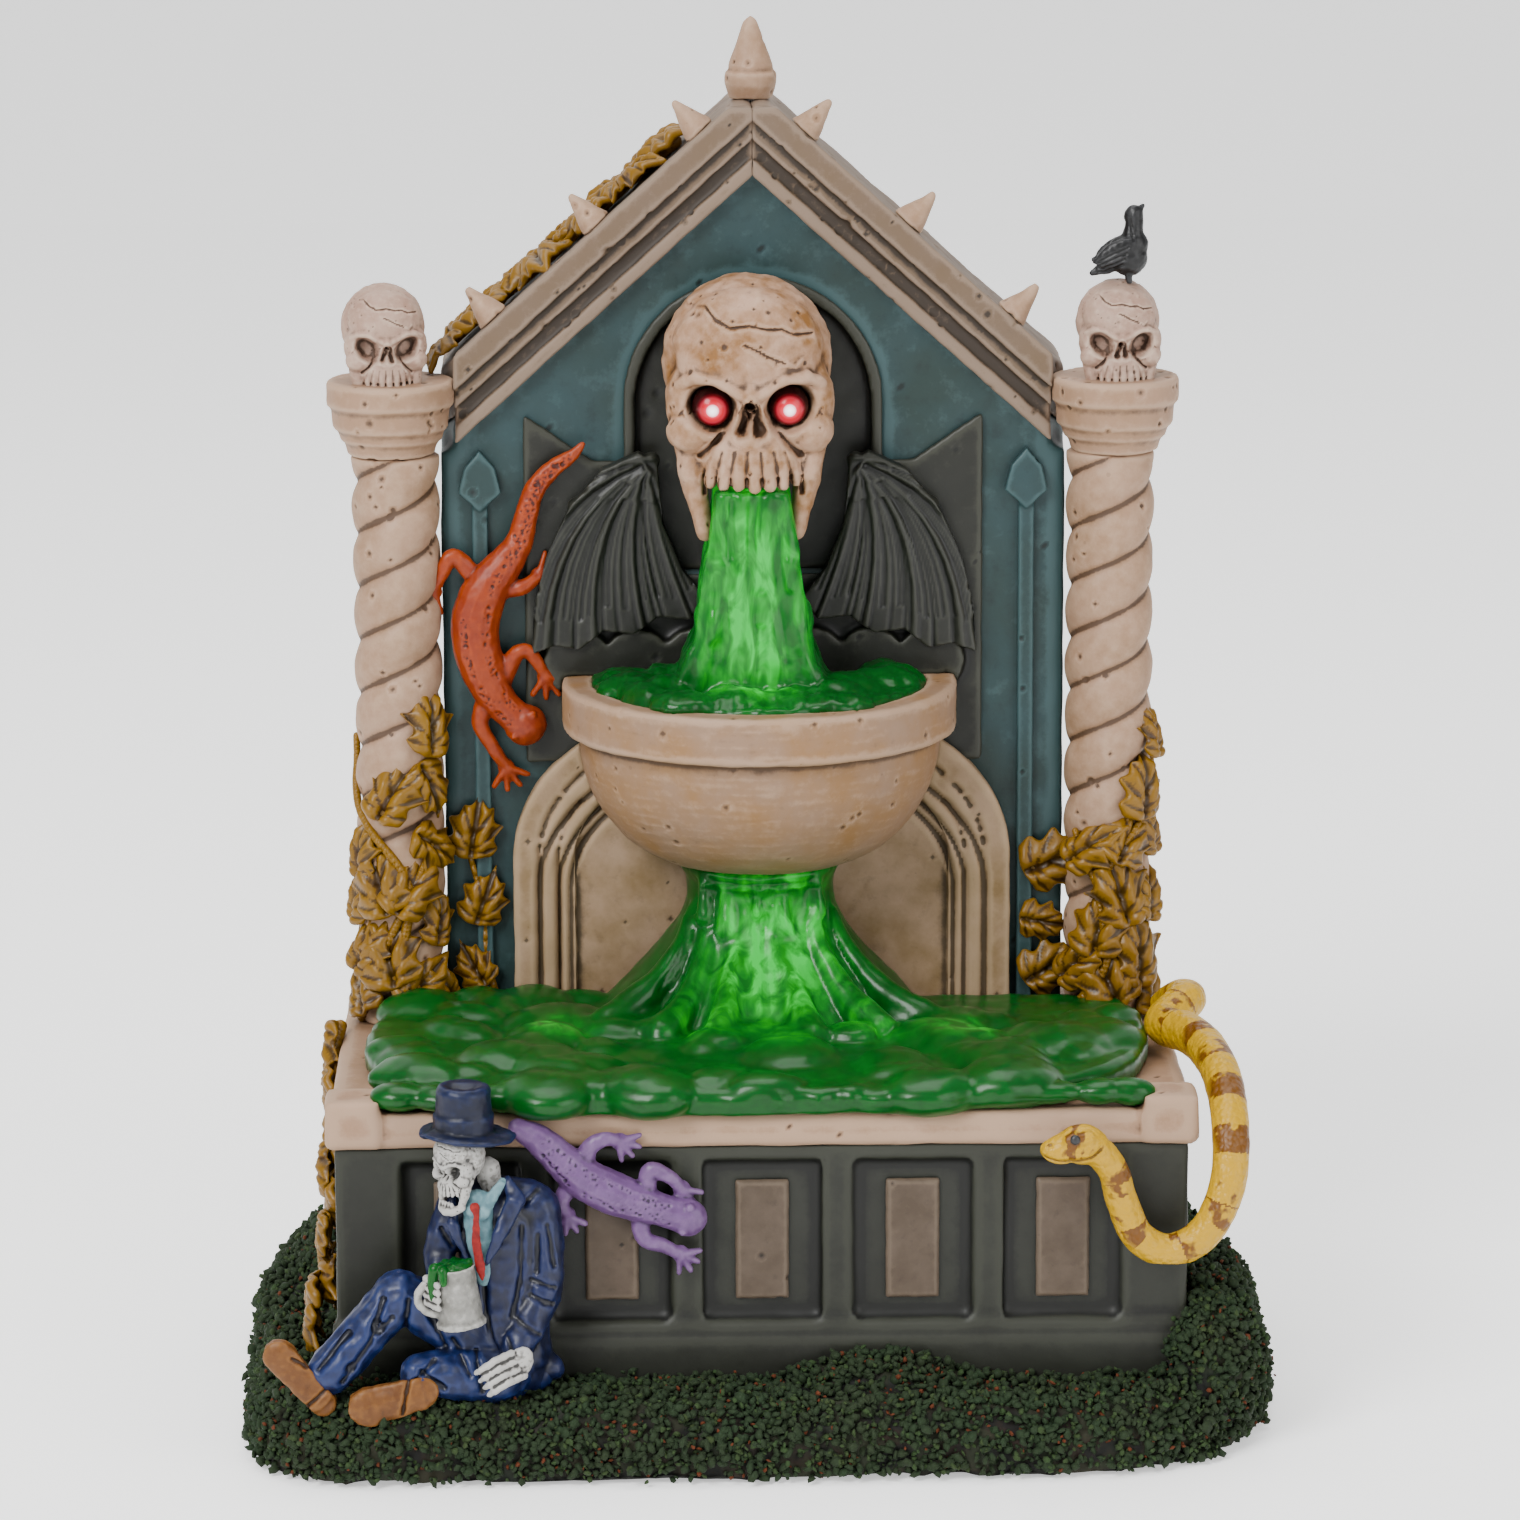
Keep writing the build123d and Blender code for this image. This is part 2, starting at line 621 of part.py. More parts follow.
def purple_salamander():
    spine = [(-28.6, 41.0), (-26.0, 39.4), (-23.4, 36.6), (-19.8, 34.2), (-15.6, 32.4), (-12.0, 31.2),
             (-8.2, 30.2)]
    girth = [0.8, 1.2, 1.8, 2.5, 2.5, 2.0, 1.8]
    y = block_front - 1.6
    body = chain([(x, y, z) for x, z in spine], girth)
    for leg in (((-21.0, 35.6), (-20.8, 39.2), (-17.6, 40.4)), ((-14.0, 32.6), (-13.4, 36.2), (-9.6, 33.8)),
                ((-15.0, 31.2), (-14.0, 27.6), (-9.4, 25.2)), ((-22.6, 35.4), (-24.0, 32.2), (-22.8, 30.2))):
        body += chain([(x, y, z) for x, z in leg], [1.0, 0.8, 0.7])
    body -= block(-60, 0, block_front, 60, 0, block_top)
    return body - trough_ledge() - slime_fall()


def snake():
    route = [(51.4, 13.0, 44.9), (52.6, 7.5, 47.6), (52.2, 1.5, 45.8), (52.4, -4.0, 47.0),
             (54.6, -12.0, 45.6),
             (56.4, -21.0, 44.4), (56.6, -29.0, 40.0), (55.6, -32.0, 33.0), (51.6, -32.4, 27.6),
             (46.6, -32.2, 27.4),
             (43.4, -32.0, 31.6), (42.2, -33.0, 37.2), (38.6, -34.0, 39.8), (34.9, -34.4, 39.2)]
    girth = [1.8, 2.6, 2.6, 2.7, 2.6, 2.4, 2.2, 2.1, 2.1, 2.1, 2.0, 2.0, 2.5, 1.3]
    body = chain(route, girth)
    body -= trough_ledge()
    body -= block(-half_block - 0.6, half_block + 0.6, block_front - 0.9, block_rear, 0, block_top)
    return body - slime_fall() - pillar_clearance() - ground_base()


def beer_mug():
    mug = Pos(-37.0, -38.4, 23.2) * Rot(0, 6, 0) * Cylinder(2.4, 7.0)
    mug -= Pos(-37.0, -38.4, 23.2) * Rot(0, 6, 0) * Pos(0, 0, 2.4) * Cylinder(1.8, 3.0)
    grip = Pos(-40.4, -38.4, 23.6) * Rot(90, 0, 0) * Torus(1.5, 0.45)
    return mug + grip


def seated_figure():
    y = block_front - 5.2
    body = limb((-33.6, y, 15.0), (-33.6, y, 29.0), 5.6, 5.2)
    body += limb((-37.0, y, 31.6), (-29.2, y, 31.6), 2.6, 2.8)
    body += chain([(-27.8, y, 31.4), (-26.6, y - 1, 22.6), (-30.2, y - 4.0, 15.8), (-34.0, y - 4.6, 13.2)],
                  [2.6, 2.4, 1.7, 1.5])
    body += chain([(-38.4, y, 31.2), (-41.6, y - 1.4, 25.4), (-39.6, y - 3.2, 25.6)], [2.4, 2.0, 1.4])
    body += limb((-34.8, y, 33.4), (-35.2, y, 38.4), 2.0, 3.9)
    body += limb((-36.8, y - 0.8, 37.0), (-37.6, y - 1.0, 36.2), 2.6, 2.0)
    body += Pos(-35.4, y, 41.9) * Rot(0, 4, 0) * Cylinder(5.7, 0.9)
    body += Pos(-35.9, y, 44.8) * Rot(0, 4, 0) * Cone(3.7, 3.1, 5.6)
    body += chain([(-36.0, y - 0.4, 13.2), (-44.4, y - 2.0, 22.4), (-52.0, y - 4.0, 14.2)], [3.6, 2.8, 2.2])
    body += chain([(-33.4, y - 2.4, 13.0), (-41.0, y - 4.8, 15.6), (-46.0, y - 5.8, 11.8)], [3.4, 2.6, 2.0])
    body += limb((-53.6, y - 4.2, 11.4), (-58.2, y - 5.0, 15.6), 2.3, 1.7)
    body += limb((-43.2, y - 6.4, 10.6), (-48.8, y - 6.8, 11.6), 2.1, 1.8)
    body -= block(-70, 0, block_front - 0.9, 60, 0, block_top)
    body -= ground_base() + trough_ledge() + beer_mug()
    return body - slime_fall()


# ---------------------------------------------------------------- ivy
def leaf(origin, out, size, spin):
    """A five-lobed leaf, a little curled plate that faces out."""
    tips = [(0, -0.75), (0.42, -0.5), (0.95, -0.55), (0.62, 0.0), (0.85, 0.55), (0.35, 0.5), (0, 1.0),
            (-0.35, 0.5), (-0.85, 0.55), (-0.62, 0.0), (-0.95, -0.55), (-0.42, -0.5)]
    face = outline([(x * size, y * size) for x, y in tips])
    place = Plane(origin=origin, x_dir=Vector(-out[1], out[0], 0.001), z_dir=out)
    return extrude(place * Rot(0, 0, spin) * face, 0.9)


def pillar_ivy(side, places):
    """Leaves on a pillar, each given by its bearing, height, size and spin, on one winding stem."""
    x0 = side * pillar_x
    reach = pillar_radius + 0.35
    leaves = []
    for bearing, z, size, spin in places:
        out = (sin(radians(bearing)) * side, -cos(radians(bearing)), 0.12)
        foot = (x0 + out[0] * (reach + 0.1 * size), pillar_y + out[1] * (reach + 0.1 * size), z)
        leaves.append(leaf(foot, out, size, spin))
    group = leaves[0]
    for item in leaves[1:]:
        group += item
    return group - facade_wall() - trough_ledge() - pillar_clearance() - slime_fall()


def ivy_left():
    places = [(-42, 80.4, 3.0, 10), (-40, 73.8, 2.5, 200), (8, 72.0, 3.6, 30), (-44, 66.0, 2.4, 160),
              (22, 60.2, 3.6, -20),
              (-8, 60.4, 3.4, 40), (-52, 55.4, 2.6, 10), (12, 51.0, 3.8, -10), (52, 52.0, 3.2, 30),
              (60, 64.0, 2.6, 0),
              (58, 46.2, 3.0, -30)]
    group = pillar_ivy(-1, places)
    for x, y, z, size in ((-36.4, wall_front, 58.6, 2.6), (-35.4, wall_front, 66.6, 2.8)):
        group += leaf((x, y - 1.0, z), (0, -1, 0.02), size, 15)
    return group - facade_wall() - spear(-1) - lower_arch() - slime_fall()


def ivy_right():
    places = [(70, 78.6, 2.2, 0), (48, 71.6, 3.0, 10), (-30, 64.6, 2.8, 60), (14, 58.2, 3.4, -20),
              (-14, 54.0, 3.2, 10),
              (58, 58.0, 2.8, 30), (40, 50.2, 3.6, 0), (0, 47.6, 3.6, -30), (-48, 49.4, 3.0, 60)]
    group = pillar_ivy(1, places)
    for x, z, size in ((37.6, 62.4, 3.0), (37.2, 48.8, 3.2)):
        group += leaf((x, wall_front - 1.0, z), (0, -1, 0.02), size, -25)
    return group - facade_wall() - spear(1) - lower_arch() - snake() - slime_fall() - pillar(1)


def ivy_roof():
    """Ivy lying along the left slope, behind the crockets."""
    group = Part()
    for i, size in enumerate((3.0, 3.4, 3.6, 3.4, 3.2, 2.8)):
        x = -11.6 - i * 4.9
        lift = gable_z(x, gable_apex - rake_inner_drop + rake_height - roof_set_back) + 0.25
        out = (-sin(radians(gable_slope)), 0, cos(radians(gable_slope)))
        place = Plane(origin=(x, wall_front + 9 + 2.0 * (i % 2), lift), x_dir=(0, 1, 0), z_dir=out)
        tips = [(0, -0.8), (0.9, -0.5), (0.7, 0.4), (0, 1.0), (-0.7, 0.4), (-0.9, -0.5)]
        group += extrude(place * outline([(a * size, b * size) for a, b in tips]), 1.3)
    return group - pillar_clearance()


def ivy_side():
    """Ivy hanging over the left end of the trough down to the turf."""
    group = Part()
    for y, z, size in ((8, 41.0, 3.0), (2, 35.6, 3.4), (-4, 29.6, 3.0), (-8, 23.8, 3.2), (-12, 19.0, 3.4),
                       (-17, 15.4, 3.2)):
        group += leaf((-half_block - ledge_overhang - 0.4, y, z), (-1, 0, 0.02), size, 15)
    group += lead([(-half_block - 1.2, 10, 42.4), (-half_block - 1.4, 2, 36), (-half_block - 1.4, -6, 28),
                   (-half_block - 1.6, -12, 20)], 0.55)
    return group - trough_ledge() - ground_base() - slime_fall()


# ---------------------------------------------------------------- electrics
def led_places():
    """The green LEDs that stand in the trough slab: under the fall and under each side of the pool."""
    return [(bowl_x, bowl_y - 6.0), (-26.0, -1.0), (25.0, -3.0)]


def led_top_z():
    return ledge_top + pool_thickness - 0.9


def led():
    """A 5 mm LED standing on its flange, legs down."""
    body = Pos(0, 0, (led_length - led_radius) / 2) * Cylinder(led_radius, led_length - led_radius)
    body += Pos(0, 0, led_length - led_radius) * Sphere(led_radius)
    body += Pos(0, 0, 0.5) * Cylinder(led_flange, 1.0)
    for x in (-1.27, 1.27):
        body += Pos(x, 0, -2.5) * Box(0.5, 0.5, 5.0)
    return body


def wall_led(x, z, tip):
    """An LED that faces the front, with its dome's tip at y = tip."""
    return Pos(x, tip + led_length, z) * Rot(90, 0, 0) * led()


def pool_leds():
    return Compound(children=[Pos(x, y, led_top_z() - led_length) * led() for x, y in led_places()[1:]])


def tray_room():
    half = tray_inner / 2
    return block(-half, half, tray_y - tray_span / 2, tray_y + tray_span / 2, plate_thickness - 1,
                 plate_thickness + tray_height)


def door_opening():
    half = tray_inner / 2 - 0.6
    return block(-half, half, hinge_y - door_thickness / 2 - door_gap, tray_y + tray_span / 2 - 0.8,
                 -1, plate_thickness + 1)


def bottom_plate():
    plate = block(-half_block, half_block, block_front, block_rear, 0, plate_thickness)
    plate -= door_opening()
    for x, y in boss_places():
        plate -= Pos(x, y, 0) * Cylinder(screw_radius + 0.2, 10)
        plate -= Pos(x, y, 0) * Cylinder(screw_head + 0.2, 2.8)
    half = tray_inner / 2 - 0.6
    for side in (-1, 1):
        plate -= Pos(side * half, hinge_y, hinge_z) * Rot(0, 90, 0) * Cylinder(pin_radius + pin_clearance,
                                                                               2 * pin_length + 0.6)
    finger = Pos(0, tray_y + tray_span / 2 - 0.8, 0) * Cylinder(6.0, 2.0)
    return plate - finger


def battery_door():
    half = tray_inner / 2 - 0.6 - door_gap
    rear = tray_y + tray_span / 2 - 0.8 - door_gap
    panel = block(-half, half, hinge_y, rear, door_recess, door_recess + door_thickness)
    panel += Pos(0, hinge_y, hinge_z) * Rot(0, 90, 0) * Cylinder(door_thickness / 2, 2 * half)
    for side in (-1, 1):
        pin = Pos(side * (half + (pin_length + door_gap) / 2), hinge_y, hinge_z) * Rot(0, 90, 0)
        panel += pin * Cylinder(pin_radius, pin_length + door_gap)
    for x in (-5.2, 5.2):
        panel -= block(x - 0.4, x + 0.4, rear - 9, rear + 1, 0, 5)
    for i in range(5):
        panel -= block(-3.5, 3.5, rear - 6.5 + i * 1.2, rear - 6.0 + i * 1.2, 0, door_recess + 0.4)
    return panel


def battery_box():
    half = tray_inner / 2 + tray_wall
    outer = block(-half, half, tray_y - tray_span / 2 - tray_wall, tray_y + tray_span / 2 + tray_wall,
                  plate_thickness, plate_thickness + tray_height + tray_wall)
    box = outer - tray_room()
    post_z = plate_thickness + tray_height + tray_wall
    for x in (-board_length / 2 + 3, board_length / 2 - 3):
        box += Pos(x, tray_y, post_z + 1.0) * Cylinder(2.2, 2.0)
    return box


def cell_places():
    """Each cell's y and the end that its nub points to."""
    return [(tray_y + (i - 1) * 2 * cell_radius * 1.01, 1 - 2 * (i % 2)) for i in range(cell_count)]


def cell_z():
    return plate_thickness + 0.35 + cell_radius


def spring_end():
    return tray_inner / 2 - contact_thickness


def battery_cells():
    cells = []
    for y, end in cell_places():
        nub_face = spring_end() - nub_length
        barrel = Pos(end * (nub_face - cell_length / 2), y, cell_z()) * Rot(0, 90,
                                                                            0) * Cylinder(cell_radius,
                                                                                          cell_length)
        nub = Pos(end * (nub_face + nub_length / 2), y, cell_z()) * Rot(0, 90, 0) * Cylinder(nub_radius,
                                                                                             nub_length)
        cells.append(barrel + nub)
    return Compound(children=cells)


def contact_plates():
    plates = []
    for y, end in cell_places():
        for side in (-1, 1):
            x0, x1 = sorted((side * tray_inner / 2, side * spring_end()))
            plates.append(block(x0, x1, y - 5, y + 5, cell_z() - 5, cell_z() + 5.5))
    return Compound(children=plates)


def contact_springs():
    springs = []
    for y, end in cell_places():
        coil = Part()
        for turn in range(spring_turns):
            x = -end * (spring_end() - spring_wire - turn * spring_pitch)
            coil += Pos(x, y, cell_z()) * Rot(0, 90, 0) * Torus(3.6 - 0.6 * turn, spring_wire)
        springs.append(coil)
    return Compound(children=springs)


def switch_screw_places():
    return [switch_x - 8.0, switch_x + 8.0]


def switch_body():
    face = block_rear - block_wall
    slot = knob_width + knob_travel + 2 * knob_gap
    body = block(switch_x - 6.2, switch_x + 6.2, face - 5.2, face, switch_z - 3.4, switch_z + 3.4)
    body += block(switch_x - 10.2, switch_x + 10.2, face - 0.8, face, switch_z - 2.6, switch_z + 2.6)
    body -= block(switch_x - slot / 2, switch_x + slot / 2, face - 3.2, face + 1,
                  switch_z - knob_height / 2 - knob_gap, switch_z + knob_height / 2 + knob_gap)
    for x in switch_screw_places():
        body -= Pos(x, face, switch_z) * Rot(90, 0, 0) * Cylinder(1.1, 6)
    for i in (-1, 0, 1):
        body += block(switch_x + i * 2.6 - 0.4, switch_x + i * 2.6 + 0.4, face - 8.4, face - 5.2,
                      switch_z - 0.25, switch_z + 0.25)
    return body


def switch_slider():
    face = block_rear - block_wall
    x = switch_x + knob_travel / 2
    knob = block(x - knob_width / 2, x + knob_width / 2, face - 2.9, block_rear + 1.4,
                 switch_z - knob_height / 2, switch_z + knob_height / 2)
    for i in (-1, 0, 1):
        knob -= block(x + i * 1.0 - 0.2, x + i * 1.0 + 0.2, block_rear + 1.1, block_rear + 2, 0, 60)
    return knob


def switch_screws():
    face = block_rear - block_wall - 0.8
    screws = []
    for x in switch_screw_places():
        head = Pos(x, face - 0.6, switch_z) * Rot(90, 0, 0) * Cylinder(1.8, 1.2)
        shank = Pos(x, face + 1.25, switch_z) * Rot(90, 0, 0) * Cylinder(0.93, 2.5)
        screws.append(head + shank)
    return Compound(children=screws)


def plate_screws():
    screws = []
    for x, y in boss_places():
        head = Pos(x, y, 0.8) * Cylinder(screw_head, 1.1)
        slot = block(x - 2, x + 2, y - 0.3, y + 0.3, 0, 0.7)
        shank = Pos(x, y, 1.3 + screw_length / 2 - 0.5) * Cylinder(screw_radius - 0.02, screw_length)
        screws.append(head + shank - slot)
    return Compound(children=screws)


def board_z():
    return plate_thickness + tray_height + tray_wall + 2.0


def led_board():
    return block(-board_length / 2, board_length / 2, tray_y - board_width / 2, tray_y + board_width / 2,
                 board_z(), board_z() + board_thickness)


def board_parts():
    top = board_z() + board_thickness
    chips = []
    for i in range(5):
        x = -12 + i * 5.0
        chips.append(block(x - 1.6, x + 1.6, tray_y - 5.0, tray_y - 3.4, top, top + 0.6))
    chips.append(block(9, 14, tray_y + 1, tray_y + 5, top, top + 1.5))
    return Compound(children=chips)


def eye_leads():
    """One twin lead from each eye, down inside the hollow wall to the board."""
    start_y = eye_tip_y + led_length + 5.0
    leads = []
    for side in (-1, 1):
        x = skull_x + side * eye_spacing / 2
        lane = side * 3.2
        leads.append(lead([(x, start_y, eye_z), (lane + 0.2 * side, 25.0, eye_z - 4),
                           (lane + side, 29.0, 104),
                           (lane + side * 2, 28.0, 76), (lane + side, 29.5, 52), (lane, 24.5, 34),
                           (side * 5, tray_y + 6.6, board_z() + board_thickness + 0.6)], 0.7))
    return Compound(children=leads)


def green_leads():
    """The lead of the LED behind the mouth, and those of the three LEDs in the trough slab."""
    start = plaque_front - 4.2 + led_length - 0.2
    leads = [lead([(skull_x, start + 1.4, spout_led_z()), (0.3, 29.5, 102), (-0.8, 30.5, 78), (0.4, 31.5, 52),
                   (-0.3, 27, 33), (0, tray_y + 6.0, board_z() + board_thickness + 0.6)], 0.7)]
    for (x, y), end in zip(led_places(), (1.5, -13.0, 13.0)):
        foot = led_top_z() - led_length - 5.0
        leads.append(lead([(x, y, foot), (x * 0.9, y + 1.6, foot - 3.4),
                           (end + 0.2 * x, tray_y - 5.2, foot - 4.4),
                           (end, tray_y - 1.0, board_z() + board_thickness + 0.6)], 0.7))
    return Compound(children=leads)


def supply_leads():
    """From the battery contacts to the switch, and on to the board."""
    half = tray_inner / 2 + tray_wall
    top = board_z() + board_thickness + 0.6
    face = block_rear - block_wall - 8.4
    red = lead([(-half - 0.9, tray_y + 14, cell_z() + 2), (-half - 1.0, tray_y + 15, 21),
                (-half + 3, tray_y + 16.5, 26),
                (switch_x - 8, face - 2.6, switch_z + 1.0), (switch_x - 2.6, face - 0.7, switch_z)], 0.6)
    black = lead([(switch_x, face - 0.7, switch_z), (switch_x + 1, face - 5, switch_z + 1.5),
                  (-11, tray_y + 8.0, 26),
                  (-12, tray_y + 3.0, top)], 0.6)
    return Compound(children=[red, black])


MAKERS = {
    "ground_base": ground_base,
    "pedestal_block": pedestal_block,
    "panel_tablets": panel_tablets,
    "trough_ledge": trough_ledge,
    "facade_wall": facade_wall,
    "rake_left": lambda: rake(-1),
    "rake_right": lambda: rake(1),
    "roof_left": lambda: roof(-1),
    "roof_right": lambda: roof(1),
    "finial": finial,
    "crockets": crockets,
    "pillar_left": lambda: pillar(-1),
    "pillar_right": lambda: pillar(1),
    "capital_left": lambda: capital(-1),
    "capital_right": lambda: capital(1),
    "skull_left": lambda: pillar_skull(-1),
    "skull_right": lambda: pillar_skull(1),
    "crow": crow,
    "niche_plaque": niche_plaque,
    "wing_left": lambda: wing(-1),
    "wing_right": lambda: wing(1),
    "spear_left": lambda: spear(-1),
    "spear_right": lambda: spear(1),
    "lower_arch": lower_arch,
    "bowl": bowl,
    "main_skull": main_skull,
    "slime_spout": slime_spout,
    "slime_fall": slime_fall,
    "orange_salamander": orange_salamander,
    "purple_salamander": purple_salamander,
    "snake": snake,
    "seated_figure": seated_figure,
    "beer_mug": beer_mug,
    "ivy_left": ivy_left,
    "ivy_right": ivy_right,
    "ivy_roof": ivy_roof,
    "ivy_side": ivy_side,
    "eye_led_left": lambda: wall_led(skull_x - eye_spacing / 2, eye_z, eye_tip_y),
    "eye_led_right": lambda: wall_led(skull_x + eye_spacing / 2, eye_z, eye_tip_y),
    "spout_led": lambda: wall_led(skull_x, spout_led_z(), plaque_front - 4.2),
    "fall_led": lambda: Pos(*led_places()[0], led_top_z() - led_length) * led(),
    "pool_leds": pool_leds,
    "eye_leads": eye_leads,
    "green_leads": green_leads,
    "supply_leads": supply_leads,
    "led_board": led_board,
    "board_parts": board_parts,
    "bottom_plate": bottom_plate,
    "plate_screws": plate_screws,
    "battery_box": battery_box,
    "battery_cells": battery_cells,
    "contact_springs": contact_springs,
    "contact_plates": contact_plates,
    "battery_door": battery_door,
    "switch_body": switch_body,
    "switch_slider": switch_slider,
    "switch_screws": switch_screws,
}

for name, make in MAKERS.items():
    export_step(make(), f"parts/{name}.step")
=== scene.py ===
"""Lit tabletop fountain in cast resin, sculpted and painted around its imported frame.

Lengths in the sculpting classes are millimetres in the part's own frame: +X to the
viewer's right, -Y towards the viewer, Z = 0 on the table.
"""
import logging
import math
import random
from dataclasses import dataclass, field
from enum import Enum
from typing import Callable, Iterable, Optional, Sequence

import bmesh
import bpy
import numpy as np
from mathutils import Matrix, Vector, noise


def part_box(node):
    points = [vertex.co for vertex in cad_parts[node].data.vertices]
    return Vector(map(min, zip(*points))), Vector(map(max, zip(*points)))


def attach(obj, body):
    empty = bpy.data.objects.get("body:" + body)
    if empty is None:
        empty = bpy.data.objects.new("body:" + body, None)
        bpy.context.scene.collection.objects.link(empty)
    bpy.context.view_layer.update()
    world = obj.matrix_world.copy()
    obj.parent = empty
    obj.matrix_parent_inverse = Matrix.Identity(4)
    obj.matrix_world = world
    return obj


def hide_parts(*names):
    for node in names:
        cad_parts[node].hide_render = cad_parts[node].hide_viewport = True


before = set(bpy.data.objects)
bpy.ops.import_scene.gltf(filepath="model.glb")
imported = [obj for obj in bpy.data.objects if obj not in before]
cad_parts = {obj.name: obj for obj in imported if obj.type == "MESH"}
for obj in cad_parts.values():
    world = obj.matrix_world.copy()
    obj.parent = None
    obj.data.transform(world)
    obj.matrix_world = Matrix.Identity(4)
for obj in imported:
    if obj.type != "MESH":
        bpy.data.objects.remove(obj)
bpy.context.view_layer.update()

logging.basicConfig(level=logging.INFO, format="%(message)s")
LOG = logging.getLogger("fountain")
MM = 0.001
BODY = "fountain"
Point = Sequence[float]


# ------------------------------------------------------------------ small helpers
def linear(code: str) -> tuple[float, float, float, float]:
    """Turn an sRGB hex colour into linear RGBA.

    Args:
        code: Six hex digits with or without a hash.

    Returns:
        Linear red, green, blue and an alpha of one.
    """
    digits = code.lstrip("#")
    channels = [int(digits[i:i + 2], 16) / 255 for i in (0, 2, 4)]
    curve = [c / 12.92 if c <= 0.04045 else ((c + 0.055) / 1.055) ** 2.4 for c in channels]
    return (*curve, 1.0)


def pigment(code: str) -> tuple[float, float, float, float]:
    """Linear colour of a paint as it is mixed: deeper and purer than its swatch under soft boxes."""
    red, green, blue, alpha = linear(code)
    grey = 0.3 * red + 0.59 * green + 0.11 * blue
    return (*(0.68 * max(0.0, grey + 1.3 * (c - grey)) ** 1.2 for c in (red, green, blue)), alpha)


def node_span(node: str) -> tuple[Vector, Vector]:
    """Lowest and highest corners of a CAD node, in millimetres."""
    low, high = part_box(node)
    return Vector(low) / MM, Vector(high) / MM


def add(tree: bpy.types.NodeTree, kind: str, settings: Optional[dict] = None,
        links: Optional[dict] = None) -> bpy.types.Node:
    """Add a shader node.

    Args:
        tree: The material's node tree.
        kind: Node type without the ShaderNode prefix.
        settings: Node properties, or input values when the key is an input's name or index.
        links: Input name or index to the output socket that feeds it.

    Returns:
        The new node.
    """
    node = tree.nodes.new("ShaderNode" + kind)
    for key, value in (settings or {}).items():
        if isinstance(key, int) or key in node.inputs:
            node.inputs[key].default_value = value
        else:
            setattr(node, key, value)
    for key, socket in (links or {}).items():
        tree.links.new(socket, node.inputs[key])
    return node


def per_metre(millimetres: float) -> float:
    """Noise scale whose features are about this many millimetres across."""
    return 1.0 / (millimetres * MM)


